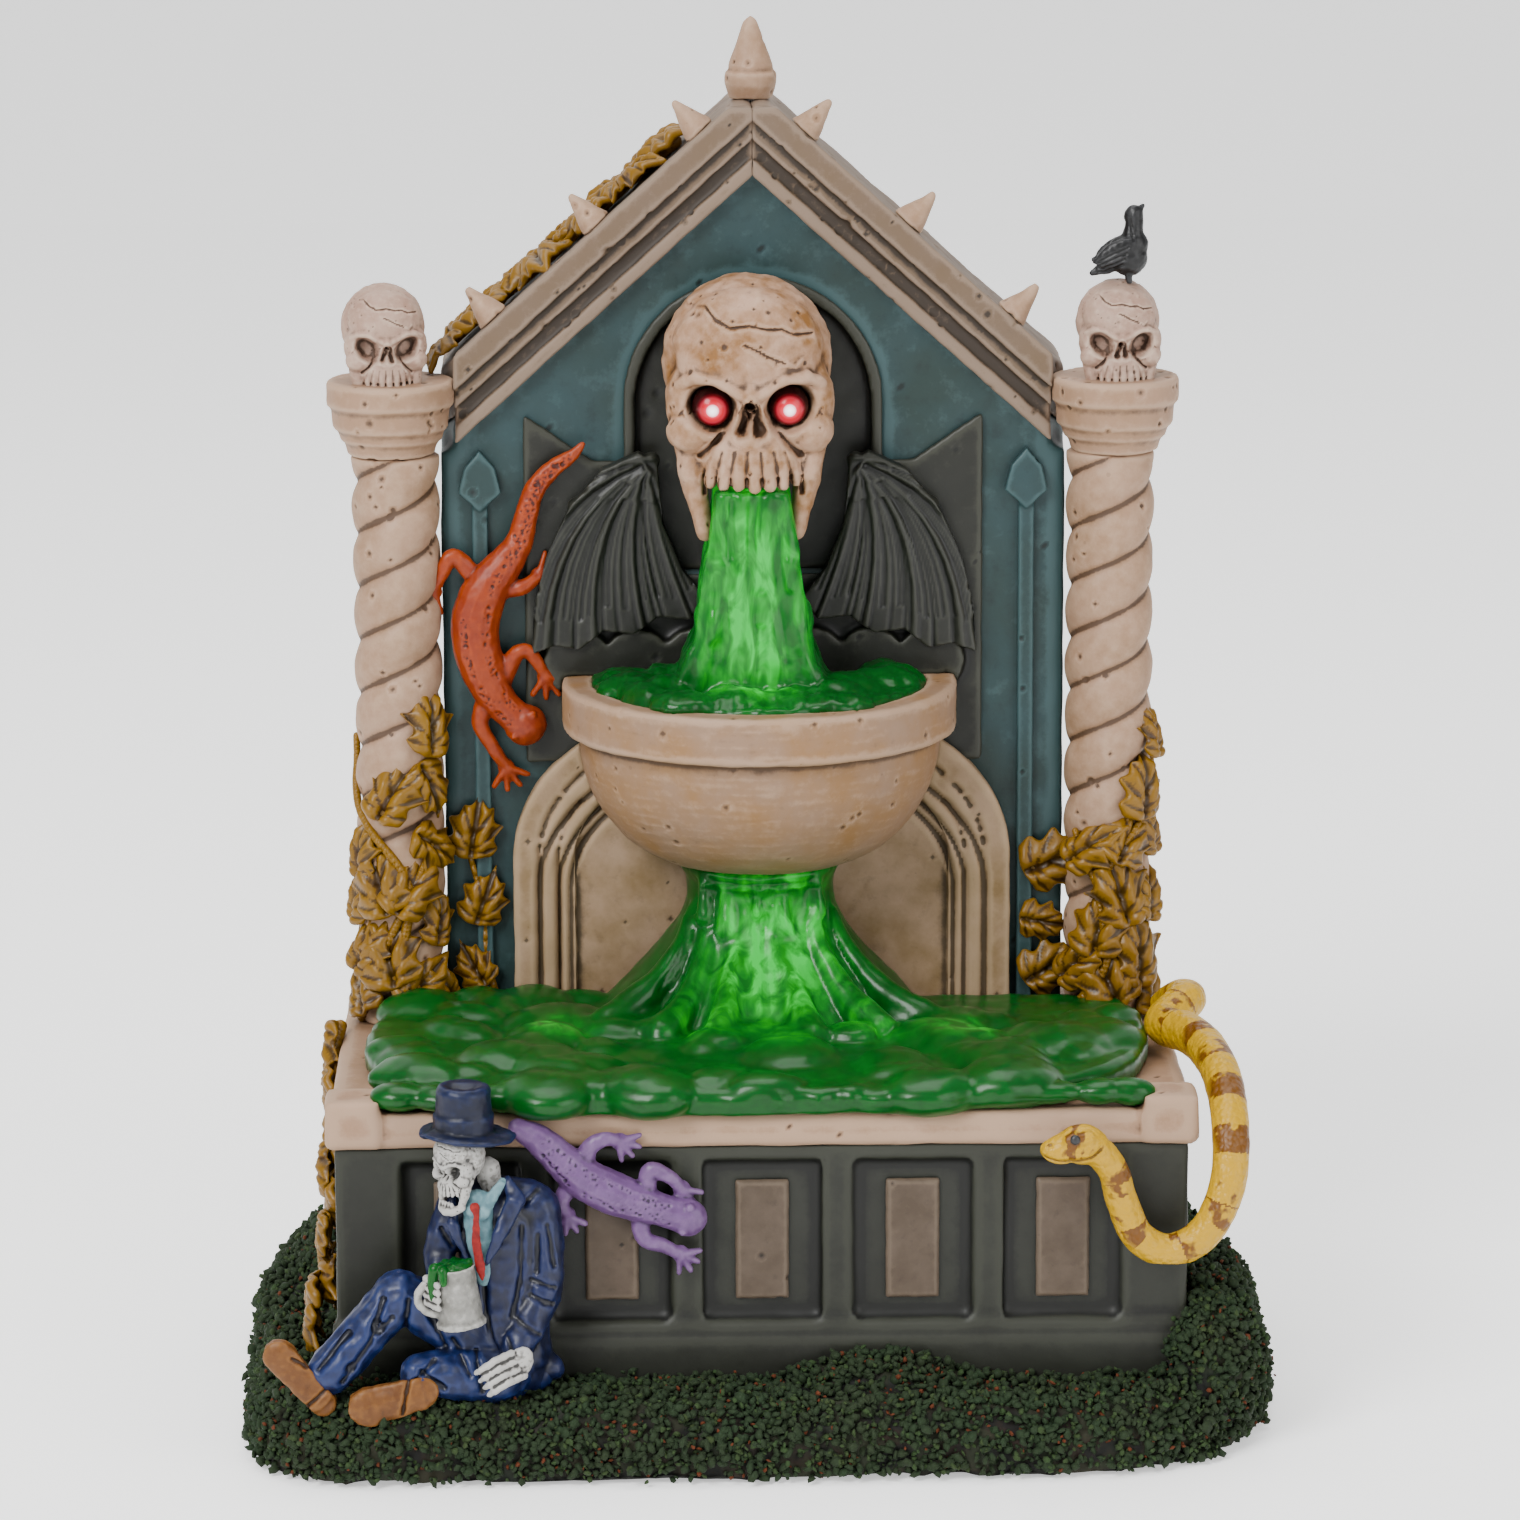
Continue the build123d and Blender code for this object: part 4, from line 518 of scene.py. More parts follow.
class Cast:
    """A skin in millimetres that is pressed, scored and weathered, and then becomes a piece."""

    def __init__(self, mesh: bpy.types.Mesh) -> None:
        """Read the mesh into arrays."""
        self.mesh = mesh
        count = len(mesh.vertices)
        self.at = np.empty(count * 3)
        mesh.vertices.foreach_get("co", self.at)
        self.at = self.at.reshape(-1, 3)
        self.pairs = np.empty(len(mesh.edges) * 2, dtype=np.int64)
        mesh.edges.foreach_get("vertices", self.pairs)
        self.pairs = self.pairs.reshape(-1, 2)
        self.extra: dict[str, np.ndarray] = {}
        self.contrast = 1.0

    def outward(self) -> np.ndarray:
        """Unit normals at the points as they stand."""
        self.mesh.vertices.foreach_set("co", self.at.ravel())
        self.mesh.update()
        out = np.empty(len(self.at) * 3)
        self.mesh.vertices.foreach_get("normal", out)
        return out.reshape(-1, 3)

    def averaged(self, rounds: int, at: Optional[np.ndarray] = None) -> np.ndarray:
        """Points pulled to the mean of their neighbours, a number of times."""
        a, b = self.pairs[:, 0], self.pairs[:, 1]
        count = len(self.at)
        linked = np.maximum(np.bincount(a, minlength=count) + np.bincount(b, minlength=count), 1)
        at = (self.at if at is None else at).copy()
        for _ in range(rounds):
            for axis in range(3):
                total = np.bincount(a, weights=at[b, axis], minlength=count)
                total += np.bincount(b, weights=at[a, axis], minlength=count)
                at[:, axis] = 0.5 * at[:, axis] + 0.5 * total / linked
        return at

    def relax(self, rounds: int) -> "Cast":
        """Smooth the skin."""
        if rounds:
            self.at = self.averaged(rounds)
        return self

    def _reach(self, path: np.ndarray, width: float, flat: bool) -> tuple[np.ndarray, np.ndarray]:
        """Points within width of a path, and their nearness from 0 to 1."""
        keep = [0, 2] if flat else [0, 1, 2]
        at, line = self.at[:, keep], path[:, keep]
        near = np.all((at > line.min(0) - width) & (at < line.max(0) + width), axis=1)
        index = np.nonzero(near)[0]
        best = np.full(len(index), np.inf)
        points = at[index]
        if len(line) == 1:
            best = np.linalg.norm(points - line[0], axis=1)
        for a, b in zip(line, line[1:]):
            run = b - a
            t = np.clip(((points - a) @ run) / max(run @ run, 1e-9), 0, 1)
            best = np.minimum(best, np.linalg.norm(points - a - t[:, None] * run, axis=1))
        hit = best < width
        closeness = 1 - best[hit] / width
        return index[hit], closeness * closeness * (3 - 2 * closeness)

    def press(self, path: Sequence[Point], width: float, depth: float, along: Optional[Point] = None,
              power: float = 1.0) -> "Cast":
        """Push the skin near a path: depth below zero scores it, above zero raises it."""
        index, pull = self._reach(np.array(path, dtype=float).reshape(-1, 3), width, False)
        way = self.outward()[index] if along is None else np.array(along, dtype=float)
        self.at[index] += way * (depth * pull ** power)[:, None]
        return self

    def score(self, path: Sequence[Sequence[float]], width: float, depth: float, back: float = 1e9,
              power: float = 1.0) -> "Cast":
        """Cut or raise along a front-view path (x, z), only on skin that faces the viewer."""
        line = np.array([(x, 0.0, z) for x, z in path], dtype=float)
        index, pull = self._reach(line, width, True)
        way = self.outward()[index]
        facing = np.clip(-way[:, 1] * 1.6, 0, 1) * (self.at[index, 1] < back)
        self.at[index, 1] += depth * facing * pull ** power
        return self

    def displace(self, amount: Callable[[np.ndarray], np.ndarray]) -> "Cast":
        """Move each point along its normal by a function of the points."""
        self.at += self.outward() * amount(self.at)[:, None]
        return self

    def rough(self, size: float | Sequence[float], height: float, seed: int = 0, octaves: int = 2) -> "Cast":
        """Uneven the skin with hand-modelled lumps of a size, or of a size along each axis, and a height."""
        places = self.at / np.array(size) + np.array((13.7, 5.1, 9.3)) * seed
        lumps = np.array([noise.fractal(p, 1.0, 2.0, octaves) for p in places.tolist()])
        self.at += self.outward() * (lumps * height)[:, None]
        return self

    def pit(self, count: int, seed: int, width: tuple[float, float] = (0.25, 0.5), depth: float = 0.25) -> "Cast":
        """Leave casting pits at random points."""
        rng = random.Random(seed)
        way, depth = self.outward(), depth * 0.7
        for _ in range(count):
            place = self.at[rng.randrange(len(self.at))]
            wide = rng.uniform(*width)
            near = np.all(np.abs(self.at - place) < wide, axis=1)
            index = np.nonzero(near)[0]
            closeness = np.clip(1 - np.linalg.norm(self.at[index] - place, axis=1) / wide, 0, 1)
            self.at[index] -= way[index] * (depth * closeness ** 0.7)[:, None]
        return self

    def fit(self, node: str, grow: float = 0.0) -> "Cast":
        """Scale and move the skin so that its box is the box of a CAD node."""
        low, high = node_span(node)
        mine_low, mine_high = self.at.min(0), self.at.max(0)
        size = np.array(high) - np.array(low) + 2 * grow
        self.at = (self.at - (mine_low + mine_high) / 2) * (size / (mine_high - mine_low))
        self.at += (np.array(high) + np.array(low)) / 2
        return self

    def clip(self, low: Optional[Point] = None, high: Optional[Point] = None) -> "Cast":
        """Flatten whatever passes a plane of a box; None leaves a side free."""
        for bound, choose in ((low, np.maximum), (high, np.minimum)):
            for axis in range(3):
                if bound is not None and bound[axis] is not None:
                    self.at[:, axis] = choose(self.at[:, axis], bound[axis])
        return self

    def place(self, matrix: Matrix) -> "Cast":
        """Transform the skin."""
        m = np.array(matrix)
        self.at = self.at @ m[:3, :3].T + m[:3, 3]
        return self

    def mark(self, name: str, values: np.ndarray) -> "Cast":
        """Keep a value for each point, for the finish to read."""
        self.extra[name] = values
        return self

    def hollows(self) -> np.ndarray:
        """How sunk each point is against its surroundings: 0.5 is level, 1 a deep groove, 0 an edge."""
        way = self.outward()
        tight = ((self.averaged(4) - self.at) * way).sum(1)
        wide = ((self.averaged(26) - self.at) * way).sum(1)
        return np.clip(0.5 + (tight * 4.5 + wide * 0.55) * self.contrast, 0, 1)

    def piece(self, name: str, finish: object, slot: str, replaces: Sequence[str] = (), body: str = BODY) -> bpy.types.Object:
        """Make the skin a finished piece.

        Args:
            name: The piece's name.
            finish: One of the finishes in Paint.
            slot: Material slot of the record; not used.
            replaces: CAD nodes that it stands for.
            body: The body that it rides on.

        Returns:
            The object, at the origin and in metres.
        """
        self.extra["hollow"] = self.hollows()
        self.at = self.at * MM
        self.mesh.vertices.foreach_set("co", self.at.ravel())
        for key, values in self.extra.items():
            layer = self.mesh.attributes.new(key, "FLOAT", "POINT")
            layer.data.foreach_set("value", values.astype(np.float32))
        self.mesh.polygons.foreach_set("use_smooth", np.ones(len(self.mesh.polygons), dtype=bool))
        self.mesh.update()
        self.mesh.name = name
        item = bpy.data.objects.new(name, self.mesh)
        bpy.context.scene.collection.objects.link(item)
        self.mesh.materials.clear()
        self.mesh.materials.append(Paint.of(finish))
        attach(item, body)
        if replaces:
            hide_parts(*replaces)
        LOG.info("%s: %d faces", name, len(self.mesh.polygons))
        return item


# ------------------------------------------------------------------ curves and scattering
def curve(points: Sequence[Point], per: int = 6) -> list[tuple[float, ...]]:
    """Run a smooth curve through the points, any number of values each."""
    p = np.array(points, dtype=float)
    padded = np.vstack([2 * p[0] - p[1], p, 2 * p[-1] - p[-2]])
    out = []
    for a, b, c, d in zip(padded, padded[1:], padded[2:], padded[3:]):
        for t in np.linspace(0, 1, per, endpoint=False):
            out.append(tuple(0.5 * (2 * b + (c - a) * t + (2 * a - 5 * b + 4 * c - d) * t * t
                                    + (3 * b - a - 3 * c + d) * t ** 3)))
    return out + [tuple(p[-1])]


def fan(start: Point, control: Point, end: Point, steps: int = 9) -> list[tuple[float, ...]]:
    """Points on a quadratic curve."""
    a, b, c = (np.array(q, dtype=float) for q in (start, control, end))
    return [tuple(a * (1 - t) ** 2 + 2 * b * t * (1 - t) + c * t * t) for t in np.linspace(0, 1, steps)]


def scatter(name: str, places: np.ndarray, sizes: np.ndarray, seed: int, squash: float) -> Cast:
    """Tile a twenty-faced crumb over many places.

    Args:
        name: Name of the mesh.
        places: One row of x, y and z for each crumb.
        sizes: Radius of each crumb.
        seed: Seed of the random turns.
        squash: How much thinner than wide a crumb is.

    Returns:
        All crumbs as one skin.
    """
    crumb = bmesh.new()
    bmesh.ops.create_icosphere(crumb, subdivisions=1, radius=1.0)
    corners = np.array([v.co[:] for v in crumb.verts])
    faces = np.array([[v.index for v in f.verts] for f in crumb.faces])
    crumb.free()
    rng = np.random.default_rng(seed)
    count = len(places)
    turn = np.linalg.qr(rng.normal(size=(count, 3, 3)))[0]
    shape = corners[None] * rng.uniform(0.6, 1.3, (count, len(corners), 1)) * np.array([1.0, 1.0, squash])
    verts = np.einsum("nij,nkj->nki", turn, shape) * sizes[:, None, None] + places[:, None, :]
    index = faces[None] + (np.arange(count) * len(corners))[:, None, None]
    mesh = bpy.data.meshes.new(name)
    mesh.from_pydata(verts.reshape(-1, 3).tolist(), [], index.reshape(-1, 3).tolist())
    return Cast(mesh)


# ------------------------------------------------------------------ architecture
@dataclass(frozen=True)
class Casting:
    """A CAD node recast as a hand-finished skin."""

    node: str
    name: str
    finish: CastPaint
    slot: str
    cell: float
    lump: float = 0.10
    lump_mm: float = 5.0
    pits: int = 60
    relax: int = 2


class Building:
    """The wall, gable, trough and turf base."""

    CASTINGS = (
        Casting("pedestal_block", "block_casting", Paint.BLOCK, "block_paint", 0.62, 0.1, 6.0, 60, 0),
        Casting("panel_tablets", "tablet_casting", Paint.TABLET, "tablet_paint", 0.22, 0.07, 2.0, 16, 0),
        Casting("trough_ledge", "ledge_casting", Paint.STONE, "stone_paint", 0.6, 0.12, 6.0, 160, 1),
        Casting("facade_wall", "wall_casting", Paint.TEAL, "wall_paint", 0.7, 0.14, 6.0, 70),
        Casting("rake_left", "rake_left_casting", Paint.MOULDING, "moulding_paint", 0.33, 0.08, 4.0, 70),
        Casting("rake_right", "rake_right_casting", Paint.MOULDING, "moulding_paint", 0.33, 0.08, 4.0, 70),
        Casting("roof_left", "roof_left_casting", Paint.MOULDING, "roof_paint", 0.65, 0.2, 5.0, 60),
        Casting("roof_right", "roof_right_casting", Paint.MOULDING, "roof_paint", 0.65, 0.2, 5.0, 60),
        Casting("finial", "finial_casting", Paint.STONE, "stone_paint", 0.24, 0.12, 2.5, 20),
        Casting("crockets", "crocket_castings", Paint.STONE, "stone_paint", 0.24, 0.12, 2.5, 20, 3),
        Casting("capital_left", "capital_left_casting", Paint.STONE, "stone_paint", 0.3, 0.1, 3.5, 50),
        Casting("capital_right", "capital_right_casting", Paint.STONE, "stone_paint", 0.3, 0.1, 3.5, 50),
        Casting("spear_left", "spear_left_casting", Paint.TEAL, "wall_paint", 0.24, 0.06, 3.0, 20),
        Casting("spear_right", "spear_right_casting", Paint.TEAL, "wall_paint", 0.24, 0.06, 3.0, 20),
        Casting("niche_plaque", "plaque_casting", Paint.PLAQUE, "plaque_paint", 0.42, 0.1, 4.0, 60),
    )

    def build(self) -> None:
        """Cast every plain part, then the ones that are worked one by one."""
        for seed, job in enumerate(self.CASTINGS):
            skin = Clay().node(job.node).fuse(job.cell, job.relax)
            if job.node == "pedestal_block":
                self.ease_slot(skin)
            skin.rough(job.lump_mm, job.lump, seed).pit(job.pits, seed, (0.3, 0.7), 0.3)
            skin.piece(job.name, job.finish, job.slot, [job.node])
        self.arch()
        self.bowl()
        for side, name in ((-1, "left"), (1, "right")):
            self.shaft(side, name)
            self.wing(side, name)
        self.turf()

    @staticmethod
    def ease_slot(skin: Cast) -> None:
        """Ease the edges of the switch slot, so that the painted skin clears the slider over its whole travel."""
        away = skin.at - (-16.0, 36.4, 27.0)
        ring = (np.abs(away[:, 0]) < 6.2) & (np.abs(away[:, 2]) < 4.2) & (np.abs(away[:, 1]) < 3.4)
        for axis in (0, 2):
            skin.at[ring, axis] += 0.55 * np.sign(away[ring, axis])

    def arch(self) -> None:
        """The arched panel under the bowl, with three cut lines round its edge."""
        skin = Clay().node("lower_arch").fuse(0.34, 1).rough(4.0, 0.12, 31).pit(50, 31, (0.25, 0.5), 0.3)
        for inset, width in ((3.3, 0.75), (5.8, 0.6), (7.3, 0.7)):
            sweep = [(math.cos(a) * (31.5 - inset) + 0.9, math.sin(a) * (21.5 - inset * 0.8) + 60.0)
                     for a in np.linspace(0, math.pi, 40)]
            line = [(sweep[0][0], 42.0), *sweep, (sweep[-1][0], 42.0)]
            skin.score(line, width * 0.85, 0.7, power=0.7)
        skin.piece("arch_casting", Paint.ARCH, "stone_paint", ["lower_arch"])

    def bowl(self) -> None:
        """The half bowl, brushed level."""
        skin = Clay().node("bowl").fuse(0.4, 2).rough(5.0, 0.12, 5).rough((6.0, 6.0, 0.7), 0.035, 6)
        skin.pit(90, 5, (0.25, 0.55), 0.3)
        skin.piece("bowl_casting", Paint.BOWL, "stone_paint", ["bowl"])

    def shaft(self, side: int, name: str) -> None:
        """A rope-twisted shaft: two fat strands that rise to the right across the front."""
        low, high = node_span(f"pillar_{name}")
        x, y, radius = (low.x + high.x) / 2, (low.y + high.y) / 2, (high.x - low.x) / 2
        clay = Clay().lathe([(0, low.z), (radius, low.z), (radius, high.z), (0, high.z)], (x, y, 0), 90)
        skin = clay.fuse(0.33, 1)
        away = skin.at[:, :2] - (x, y)
        reach = np.hypot(away[:, 0], away[:, 1])
        bearing = np.arctan2(away[:, 0], -away[:, 1])
        phase = skin.at[:, 2] / 6.8 - bearing / math.pi
        strand = np.abs(np.sin(math.pi * phase))
        side_wall = np.clip((reach - radius + 1.0) / 0.6, 0, 1)
        inward = (1.05 * (1 - strand ** 0.55) - 0.25) * side_wall
        skin.at[:, :2] -= away / np.maximum(reach, 0.1)[:, None] * inward[:, None]
        skin.relax(1).rough(3.5, 0.13, 7 + side).pit(90, 7 + side, (0.3, 0.7), 0.3)
        skin.piece(f"shaft_{name}_casting", Paint.STONE, "stone_paint", [f"pillar_{name}"])

    def wing(self, side: int, name: str) -> None:
        """A bat wing: ribs and fine folds that fan out from the claw."""
        skin = Clay().node(f"wing_{name}").fuse(0.24, 2)
        hem = [(6.0, 97.4), (8.0, 94.6), (12.0, 95.0), (15.0, 92.8), (19.0, 93.2), (22.0, 90.8), (25.0, 91.4),
               (28.0, 90.3), (27.9, 94.0), (27.0, 99.0)]
        lengths = np.concatenate([[0], np.cumsum([math.dist(a, b) for a, b in zip(hem, hem[1:])])])
        root = (12.9, 114.6)
        rng = random.Random(6)
        for i, t in enumerate(np.linspace(0.01, 0.99, 46)):
            t = min(max(t + rng.uniform(-0.012, 0.012), 0.0), 1.0)
            end = [np.interp(t * lengths[-1], lengths, [h[k] for h in hem]) for k in (0, 1)]
            bulge = 1.5 + 6.5 * t
            middle = ((root[0] + end[0]) / 2 + bulge, (root[1] + end[1]) / 2 + bulge * 0.75)
            start = (root[0] + 1.3 * t, root[1] - 1.6 * (1 - t))
            line = [(side * x, z) for x, z in fan(start, middle, end)]
            if i % 9 == 4:
                skin.score(line, 0.8, -0.4)
            else:
                skin.score(line[rng.randrange(3):9 - rng.randrange(2)], rng.uniform(0.28, 0.45), rng.uniform(0.14, 0.36))
        skin.score([(side * x, z) for x, z in ((12.6, 115.6), (16.5, 114.8), (20.6, 111.6))], 1.0, -0.5)
        skin.rough(2.5, 0.08, 3 + side)
        skin.piece(f"wing_{name}_casting", Paint.WING, "wing_paint", [f"wing_{name}"])

    def turf(self) -> None:
        """The moulded ground with two colours of foam flock glued over it."""
        skin = Clay().node("ground_base").fuse(0.9, 1).rough(5.0, 0.5, 2, 3)
        skin.at -= skin.outward() * 0.85
        skin.clip(low=(None, None, 0.0))
        ground, way = skin.at.copy(), skin.outward().copy()
        skin.piece("ground_casting", Paint.SOIL, "turf", ["ground_base"])
        under = (np.abs(ground[:, 0]) < 51.0) & (ground[:, 1] > -27.2) & (ground[:, 1] < 37.5)
        spots = np.nonzero(~under & (ground[:, 2] > 1.0) & (way[:, 2] > -0.4))[0]
        rng = np.random.default_rng(12)
        for name, finish, count, size in (("green_flock", Paint.TURF, 9900, 0.72), ("dark_flock", Paint.TURF, 9900, 0.6),
                                          ("pale_flock", Paint.PALE_TURF, 9900, 0.46),
                                          ("rust_flock", Paint.RUST_TURF, 2600, 0.36)):
            pick = rng.choice(spots, count)
            sizes = rng.uniform(0.55, 1.25, count) * size
            at = ground[pick] + way[pick] * rng.uniform(-0.3, 0.75, (count, 1)) + rng.normal(0, 0.35, (count, 3))
            at[:, 2] = np.maximum(at[:, 2], sizes * 1.15)
            crumbs = scatter(name, at, sizes, count + len(name), 0.55)
            crumbs.piece(name, finish, "turf")


# ------------------------------------------------------------------ skulls and slime
class Skull:
    """A scowling skull, sculpted at the big skull's size about its own middle line."""

    FOOT = (0.0, 12.0, 113.0)

    def __init__(self, cell: float, lit: bool, seed: int, chin: bool = False) -> None:
        """Sculpt it: round sockets for lamps or deep slanted ones, and a whole lower jaw if it has a chin."""
        self.lit, self.chin = lit, chin
        self.seed = seed
        self.skin = self._mass().fuse(cell, 2)
        self._features()

    def _mass(self) -> Clay:
        """Cranium, brow, cheekbones, jaw and teeth."""
        clay = Clay().ball((-0.3, 12.6, 128.2), (10.7, 9.4, 10.9)).ball((-0.3, 9.0, 129.4), (9.6, 7.0, 8.6))
        clay.ball((0, 10.0, 123.0), (10.0, 7.0, 7.0)).ball((0, 7.2, 117.4), (6.9, 4.8, 4.6))
        clay.ball((0, 6.3, 119.6), (4.2, 4.0, 3.6))
        for s in (-1, 1):
            clay.rod([(s * 8.9, 5.9, 126.2), (s * 6.8, 4.2, 127.2), (s * 4.2, 3.4, 126.9), (s * 1.0, 3.0, 125.2)],
                     [0.6, 0.85, 0.95, 0.85])
            clay.ball((s * 7.3, 6.6, 120.4), (3.1, 2.8, 2.9), (0, s * 14, 0))
            clay.ball((s * 4.6, 5.4, 120.8), (2.5, 2.1, 1.7), (0, s * 24, 0))
            clay.ball((s * 8.0, 8.4, 124.0), (2.5, 3.4, 5.2))
            clay.rod([(s * 7.8, 9.0, 119.5), (s * 7.0, 7.6, 114.0), (s * 5.7, 5.8, 107.6)], [2.0, 1.7, 1.0], 1.3)
        clay.rod([(0, 3.4, 126.0), (0, 2.3, 123.6)], [1.1, 0.8])
        clay.rod([(-0.5, 2.9, 123.6), (-2.0, 3.6, 120.8)], [0.6, 0.8]).rod([(0.5, 2.9, 123.6), (2.0, 3.6, 120.8)], [0.6, 0.8])
        for x, z in ((-6.3, 114.4), (-5.0, 114.1), (-3.4, 113.9), (-1.6, 114.1), (0.4, 113.6), (2.3, 114.0),
                     (4.0, 113.9), (5.6, 114.2), (6.7, 114.7)):
            y = 8.3 - math.sqrt(max(38.0 - x * x * 0.8, 0.1))
            clay.rod([(x * 0.95, y + 0.7, 116.4), (x, y + 0.3, z)], [0.8, 0.82], 0.85)
        if self.chin:
            clay.rod([(-6.2, 6.4, 108.6), (-3.4, 4.0, 107.2), (0, 3.2, 106.8), (3.4, 4.0, 107.2), (6.2, 6.4, 108.6)],
                     [1.5, 1.9, 2.1, 1.9, 1.5])
            for x in (-3.6, -1.8, 0, 1.8, 3.6):
                clay.rod([(x, 3.6, 108.0), (x, 3.3, 110.4)], [0.85, 0.8])
        return clay

    def _sink(self, x: float, z: float, inner: float, outer: float, depth: float, slant: float = 0.0) -> None:
        """Push a round hollow into the face."""
        at = self.skin.at
        way = self.skin.outward()
        dx, dz = at[:, 0] - x, at[:, 2] - z
        dz = dz + slant * dx
        near = np.clip((outer - np.hypot(dx, dz)) / (outer - inner), 0, 1)
        near = near * near * (3 - 2 * near) * (way[:, 1] < 0.1) * (at[:, 1] < 12)
        self.skin.at[:, 1] += depth * near

    def _features(self) -> None:
        """Sockets, nose, creases, tooth roots, cracks and pits."""
        skin = self.skin
        for s in (-1, 1):
            if self.lit:
                self._sink(s * 4.75, 123.3, 2.15, 3.35, 4.0, -0.12 * s)
            else:
                self._sink(s * 4.8, 123.2, 1.7, 3.6, 4.4, -0.35 * s)
            skin.press([(s * 10.4, 8.0, 128.4)], 3.6, -0.5)
            skin.score([(s * 2.2, 121.6), (s * 3.6, 120.2), (s * 4.8, 118.6), (s * 6.2, 117.3)], 0.62, 1.5)
            skin.score([(s * 0.25, 123.4), (s * 1.1, 120.7)], 1.05, 3.2, power=0.5)
            skin.score([(s * 8.4, 122.6), (s * 7.0, 121.2), (s * 4.6, 120.6)], 0.3, 0.22)
            skin.score([(s * 7.8, 123.6), (s * 8.8, 122.4)], 0.3, 0.2)
        for x in (-5.7, -4.2, -2.4, -0.55, 1.4, 3.3, 4.95, 6.3):
            skin.score([(x, 112.6), (x, 114.7)], 0.4, 0.9, power=0.6)
            skin.score([(x, 115.0), (x * 0.93, 116.8), (x * 0.85, 118.0)], 0.4, 0.22)
        skin.score([(-8.0, 136), (-7.5, 135.4), (-5.5, 135.7), (-4.3, 134.3), (-2.5, 133.4), (-0.1, 133.7), (2, 133.2),
                    (3.8, 133.2), (5.2, 132.5), (7.5, 132.4)], 0.3, 0.6, power=0.6)
        skin.score([(-0.7, 131.4), (0.5, 130.9), (2.0, 130), (4.2, 129.1)], 0.28, 0.5, power=0.6)
        skin.score([(4.2, 129.1), (5.6, 128.6), (6.4, 129.4)], 0.5, -0.25)
        skin.rough(2.4, 0.2, self.seed).pit(120, self.seed, (0.2, 0.45), 0.3).pit(14, self.seed + 1, (0.5, 0.9), 0.35)

    def at(self, foot: Point, size: float, turn: float = 0.0, nod: float = 0.0) -> Cast:
        """Set the skull down with its teeth at a point, scaled, turned about the vertical and nodded."""
        move = Matrix.Translation(foot) @ Matrix.Rotation(math.radians(turn), 4, "Z")
        move = move @ Matrix.Rotation(math.radians(nod), 4, "X") @ Matrix.Scale(size, 4)
        return self.skin.place(move @ Matrix.Translation([-c for c in self.FOOT]))


